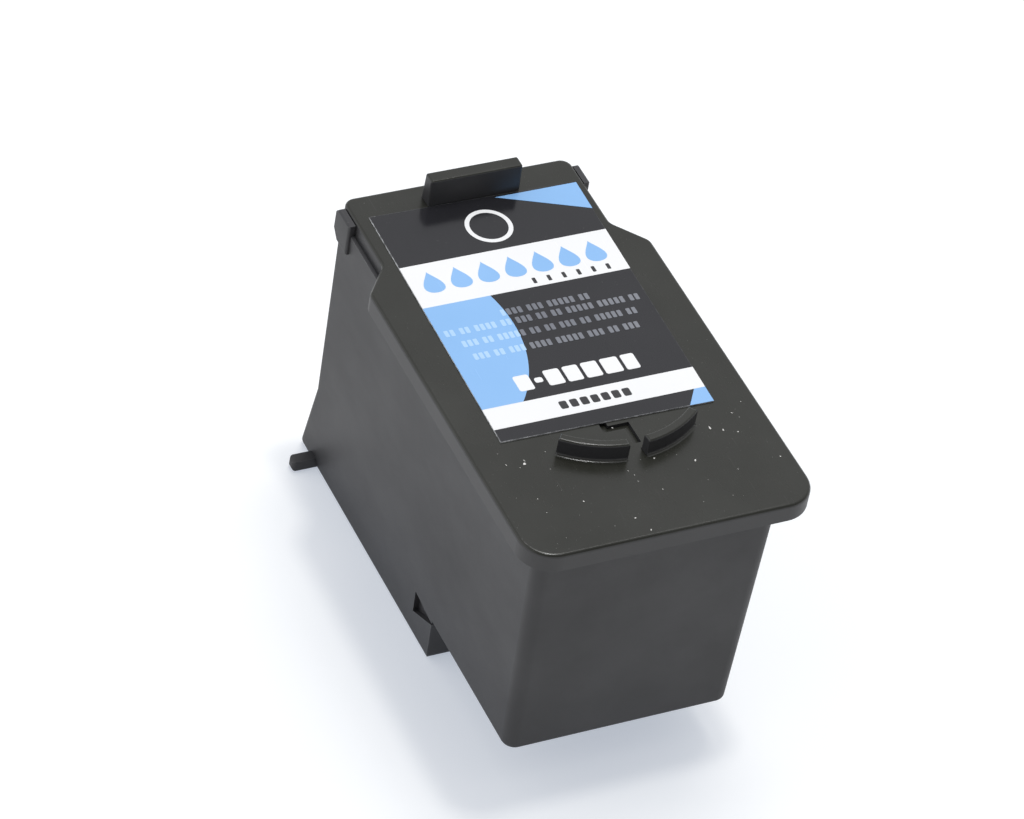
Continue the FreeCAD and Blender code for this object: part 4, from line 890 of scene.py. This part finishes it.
def foot_profile(wall, outward):
    """Section of a fillet as (radius, height): a concave quarter, let a little into wall and lid."""
    steps, skin = 6, 0.002 * MM
    profile = [(wall - outward * FOOT_OVERLAP, LID_TOP + FOOT_RADIUS)]
    for step in range(steps + 1):
        angle = math.pi / 2 * step / steps
        profile.append((wall + outward * FOOT_RADIUS * (1 - math.cos(angle)),
                        LID_TOP + FOOT_RADIUS * (1 - math.sin(angle)) + skin))
    profile.append((wall + outward * FOOT_RADIUS, LID_TOP - FOOT_OVERLAP))
    profile.append((wall - outward * FOOT_OVERLAP, LID_TOP - FOOT_OVERLAP))
    return profile


def add_arc_feet():
    """A concave sweep at the foot of both walls of each raised arc."""
    steps = 36
    mesh = bmesh.new()
    for side in (-1, 1):
        for wall, outward in ((ARC_OUTER, 1), (ARC_OUTER - ARC_WIDTH, -1)):
            profile = foot_profile(wall, outward)
            rings = []
            for step in range(steps + 1):
                turn = math.radians(-90 + side * (ARC_START + ARC_SPAN * step / steps))
                rings.append([mesh.verts.new((ARC_CENTRE.x + radius * math.cos(turn),
                                              ARC_CENTRE.y + radius * math.sin(turn), height))
                              for radius, height in profile])
            add_tube(mesh, rings)
    piece = new_piece("arc_foot_fillets", mesh, LID_PLASTIC)
    # Walls are shaded smooth, and the caps at the arcs' ends flat
    for face in piece.data.polygons:
        face.use_smooth = len(face.vertices) == 4
    return piece


add_arc_feet()


# Floor, light and camera

def add_floor():
    """A pale floor that keeps the object's shadow, looks white to the camera and is clear from below."""
    half_width = 3.0
    paper_colour, glow_colour, glow_strength = (0.68, 0.66, 0.61, 1), (0.79, 0.865, 1.0, 1), 0.50
    mesh = bmesh.new()
    bmesh.ops.create_grid(mesh, x_segments=1, y_segments=1, size=half_width)
    data = bpy.data.meshes.new("floor")
    mesh.to_mesh(data)
    mesh.free()
    floor = bpy.data.objects.new("floor", data)
    bpy.context.scene.collection.objects.link(floor)
    finish = bpy.data.materials.new("floor_paper")
    finish.use_nodes = True
    tree = finish.node_tree
    tree.nodes.clear()
    paper = put(tree, "ShaderNodeBsdfDiffuse", {"Color": paper_colour})
    path = put(tree, "ShaderNodeLightPath").outputs
    seen = maths(tree, "MAXIMUM", path["Is Camera Ray"], path["Is Glossy Ray"])
    seen = maths(tree, "MAXIMUM", seen, path["Is Transmission Ray"])
    strength = maths(tree, "MULTIPLY", seen, glow_strength)
    glow = put(tree, "ShaderNodeEmission", {"Color": glow_colour, "Strength": strength})
    both = put(tree, "ShaderNodeAddShader", {0: paper.outputs[0], 1: glow.outputs[0]})
    below = put(tree, "ShaderNodeBsdfTransparent")
    backside = put(tree, "ShaderNodeNewGeometry").outputs["Backfacing"]
    shown = put(tree, "ShaderNodeMixShader", {0: backside, 1: both.outputs[0], 2: below.outputs[0]})
    put(tree, "ShaderNodeOutputMaterial", {"Surface": shown.outputs[0]})
    data.materials.append(finish)


def light_world():
    """A pale surround, brightest on the left and high behind the object, and white to the camera."""
    bright_side, left_side = (0.36, 0.50, 0.79), (-0.90, 0.44, 0.0)
    world = bpy.data.worlds.new("studio")
    bpy.context.scene.world = world
    world.use_nodes = True
    tree = world.node_tree
    tree.nodes.clear()
    path = put(tree, "ShaderNodeLightPath").outputs
    seen = maths(tree, "MAXIMUM", path["Is Camera Ray"], path["Is Transmission Ray"])
    direction = put(tree, "ShaderNodeTexCoord").outputs["Generated"]
    ceiling = rescaled(tree, alignment(tree, direction, bright_side), 0.45, 0.95, 0.27, 0.80)
    height = put(tree, "ShaderNodeSeparateXYZ", {0: direction}).outputs["Z"]
    sweep = rescaled(tree, height, 0.12, 0.36, 1.0, 0.0)
    reflected = maths(tree, "MULTIPLY", sweep, path["Is Glossy Ray"])
    left_wall = rescaled(tree, alignment(tree, direction, left_side), 0.30, 0.95, 0.25, 1.25)
    lighting = maths(tree, "MAXIMUM", left_wall, maths(tree, "MULTIPLY", sweep, 0.36))
    level = maths(tree, "MAXIMUM", ceiling, maths(tree, "MAXIMUM", reflected, lighting))
    lit = put(tree, "ShaderNodeBackground", {"Color": (0.96, 0.97, 1.0, 1), "Strength": level})
    white = put(tree, "ShaderNodeBackground", {"Color": (1, 1, 1, 1), "Strength": 1.0})
    mixed = put(tree, "ShaderNodeMixShader", {0: seen, 1: lit.outputs[0], 2: white.outputs[0]})
    put(tree, "ShaderNodeOutputWorld", {"Surface": mixed.outputs[0]})


def add_lamp(name, place, size, watts, tint):
    """A soft box that faces the cartridge."""
    target = Vector((0, 0, 0.02))
    data = bpy.data.lights.new(name, "AREA")
    data.shape = "RECTANGLE"
    data.size, data.size_y = size
    data.energy = watts
    data.color = tint
    lamp = bpy.data.objects.new(name, data)
    lamp.location = place
    lamp.rotation_mode = "QUATERNION"
    lamp.rotation_quaternion = (target - Vector(place)).to_track_quat("-Z", "Y")
    bpy.context.scene.collection.objects.link(lamp)


def add_camera():
    """The photograph's camera, solved from the lid's straight edges, placed from its front edge."""
    eye = LID_EDGE + Vector((-0.23350, -0.33814, 0.38487))
    azimuth, elevation, roll = math.radians(-31.75), math.radians(42.19), math.radians(10.9)
    focal_pixels, image_width, sensor = 5114.65, 1024, 36.0
    data = bpy.data.cameras.new("camera")
    data.sensor_width = sensor
    data.lens = focal_pixels / image_width * sensor
    data.clip_start = 0.05
    data.clip_end = 20
    camera = bpy.data.objects.new("camera", data)
    bpy.context.scene.collection.objects.link(camera)
    back = Vector((math.sin(azimuth) * math.cos(elevation), -math.cos(azimuth) * math.cos(elevation),
                   math.sin(elevation)))
    level = (-back).to_track_quat("-Z", "Y").to_matrix().to_4x4()
    camera.matrix_world = Matrix.Translation(eye) @ level @ Matrix.Rotation(roll, 4, "Z")
    bpy.context.scene.camera = camera


add_floor()
light_world()
add_lamp("overhead_softbox", place=(0.13, 0.17, 0.92), size=(0.32, 0.32), watts=2.25,
         tint=(1.0, 0.99, 0.98))
add_lamp("overhead_window", place=(0.06, -0.03, 0.95), size=(0.07, 0.07), watts=2.0,
         tint=(1.0, 1.0, 1.0))
add_camera()
bpy.context.scene.view_settings.view_transform = "Standard"
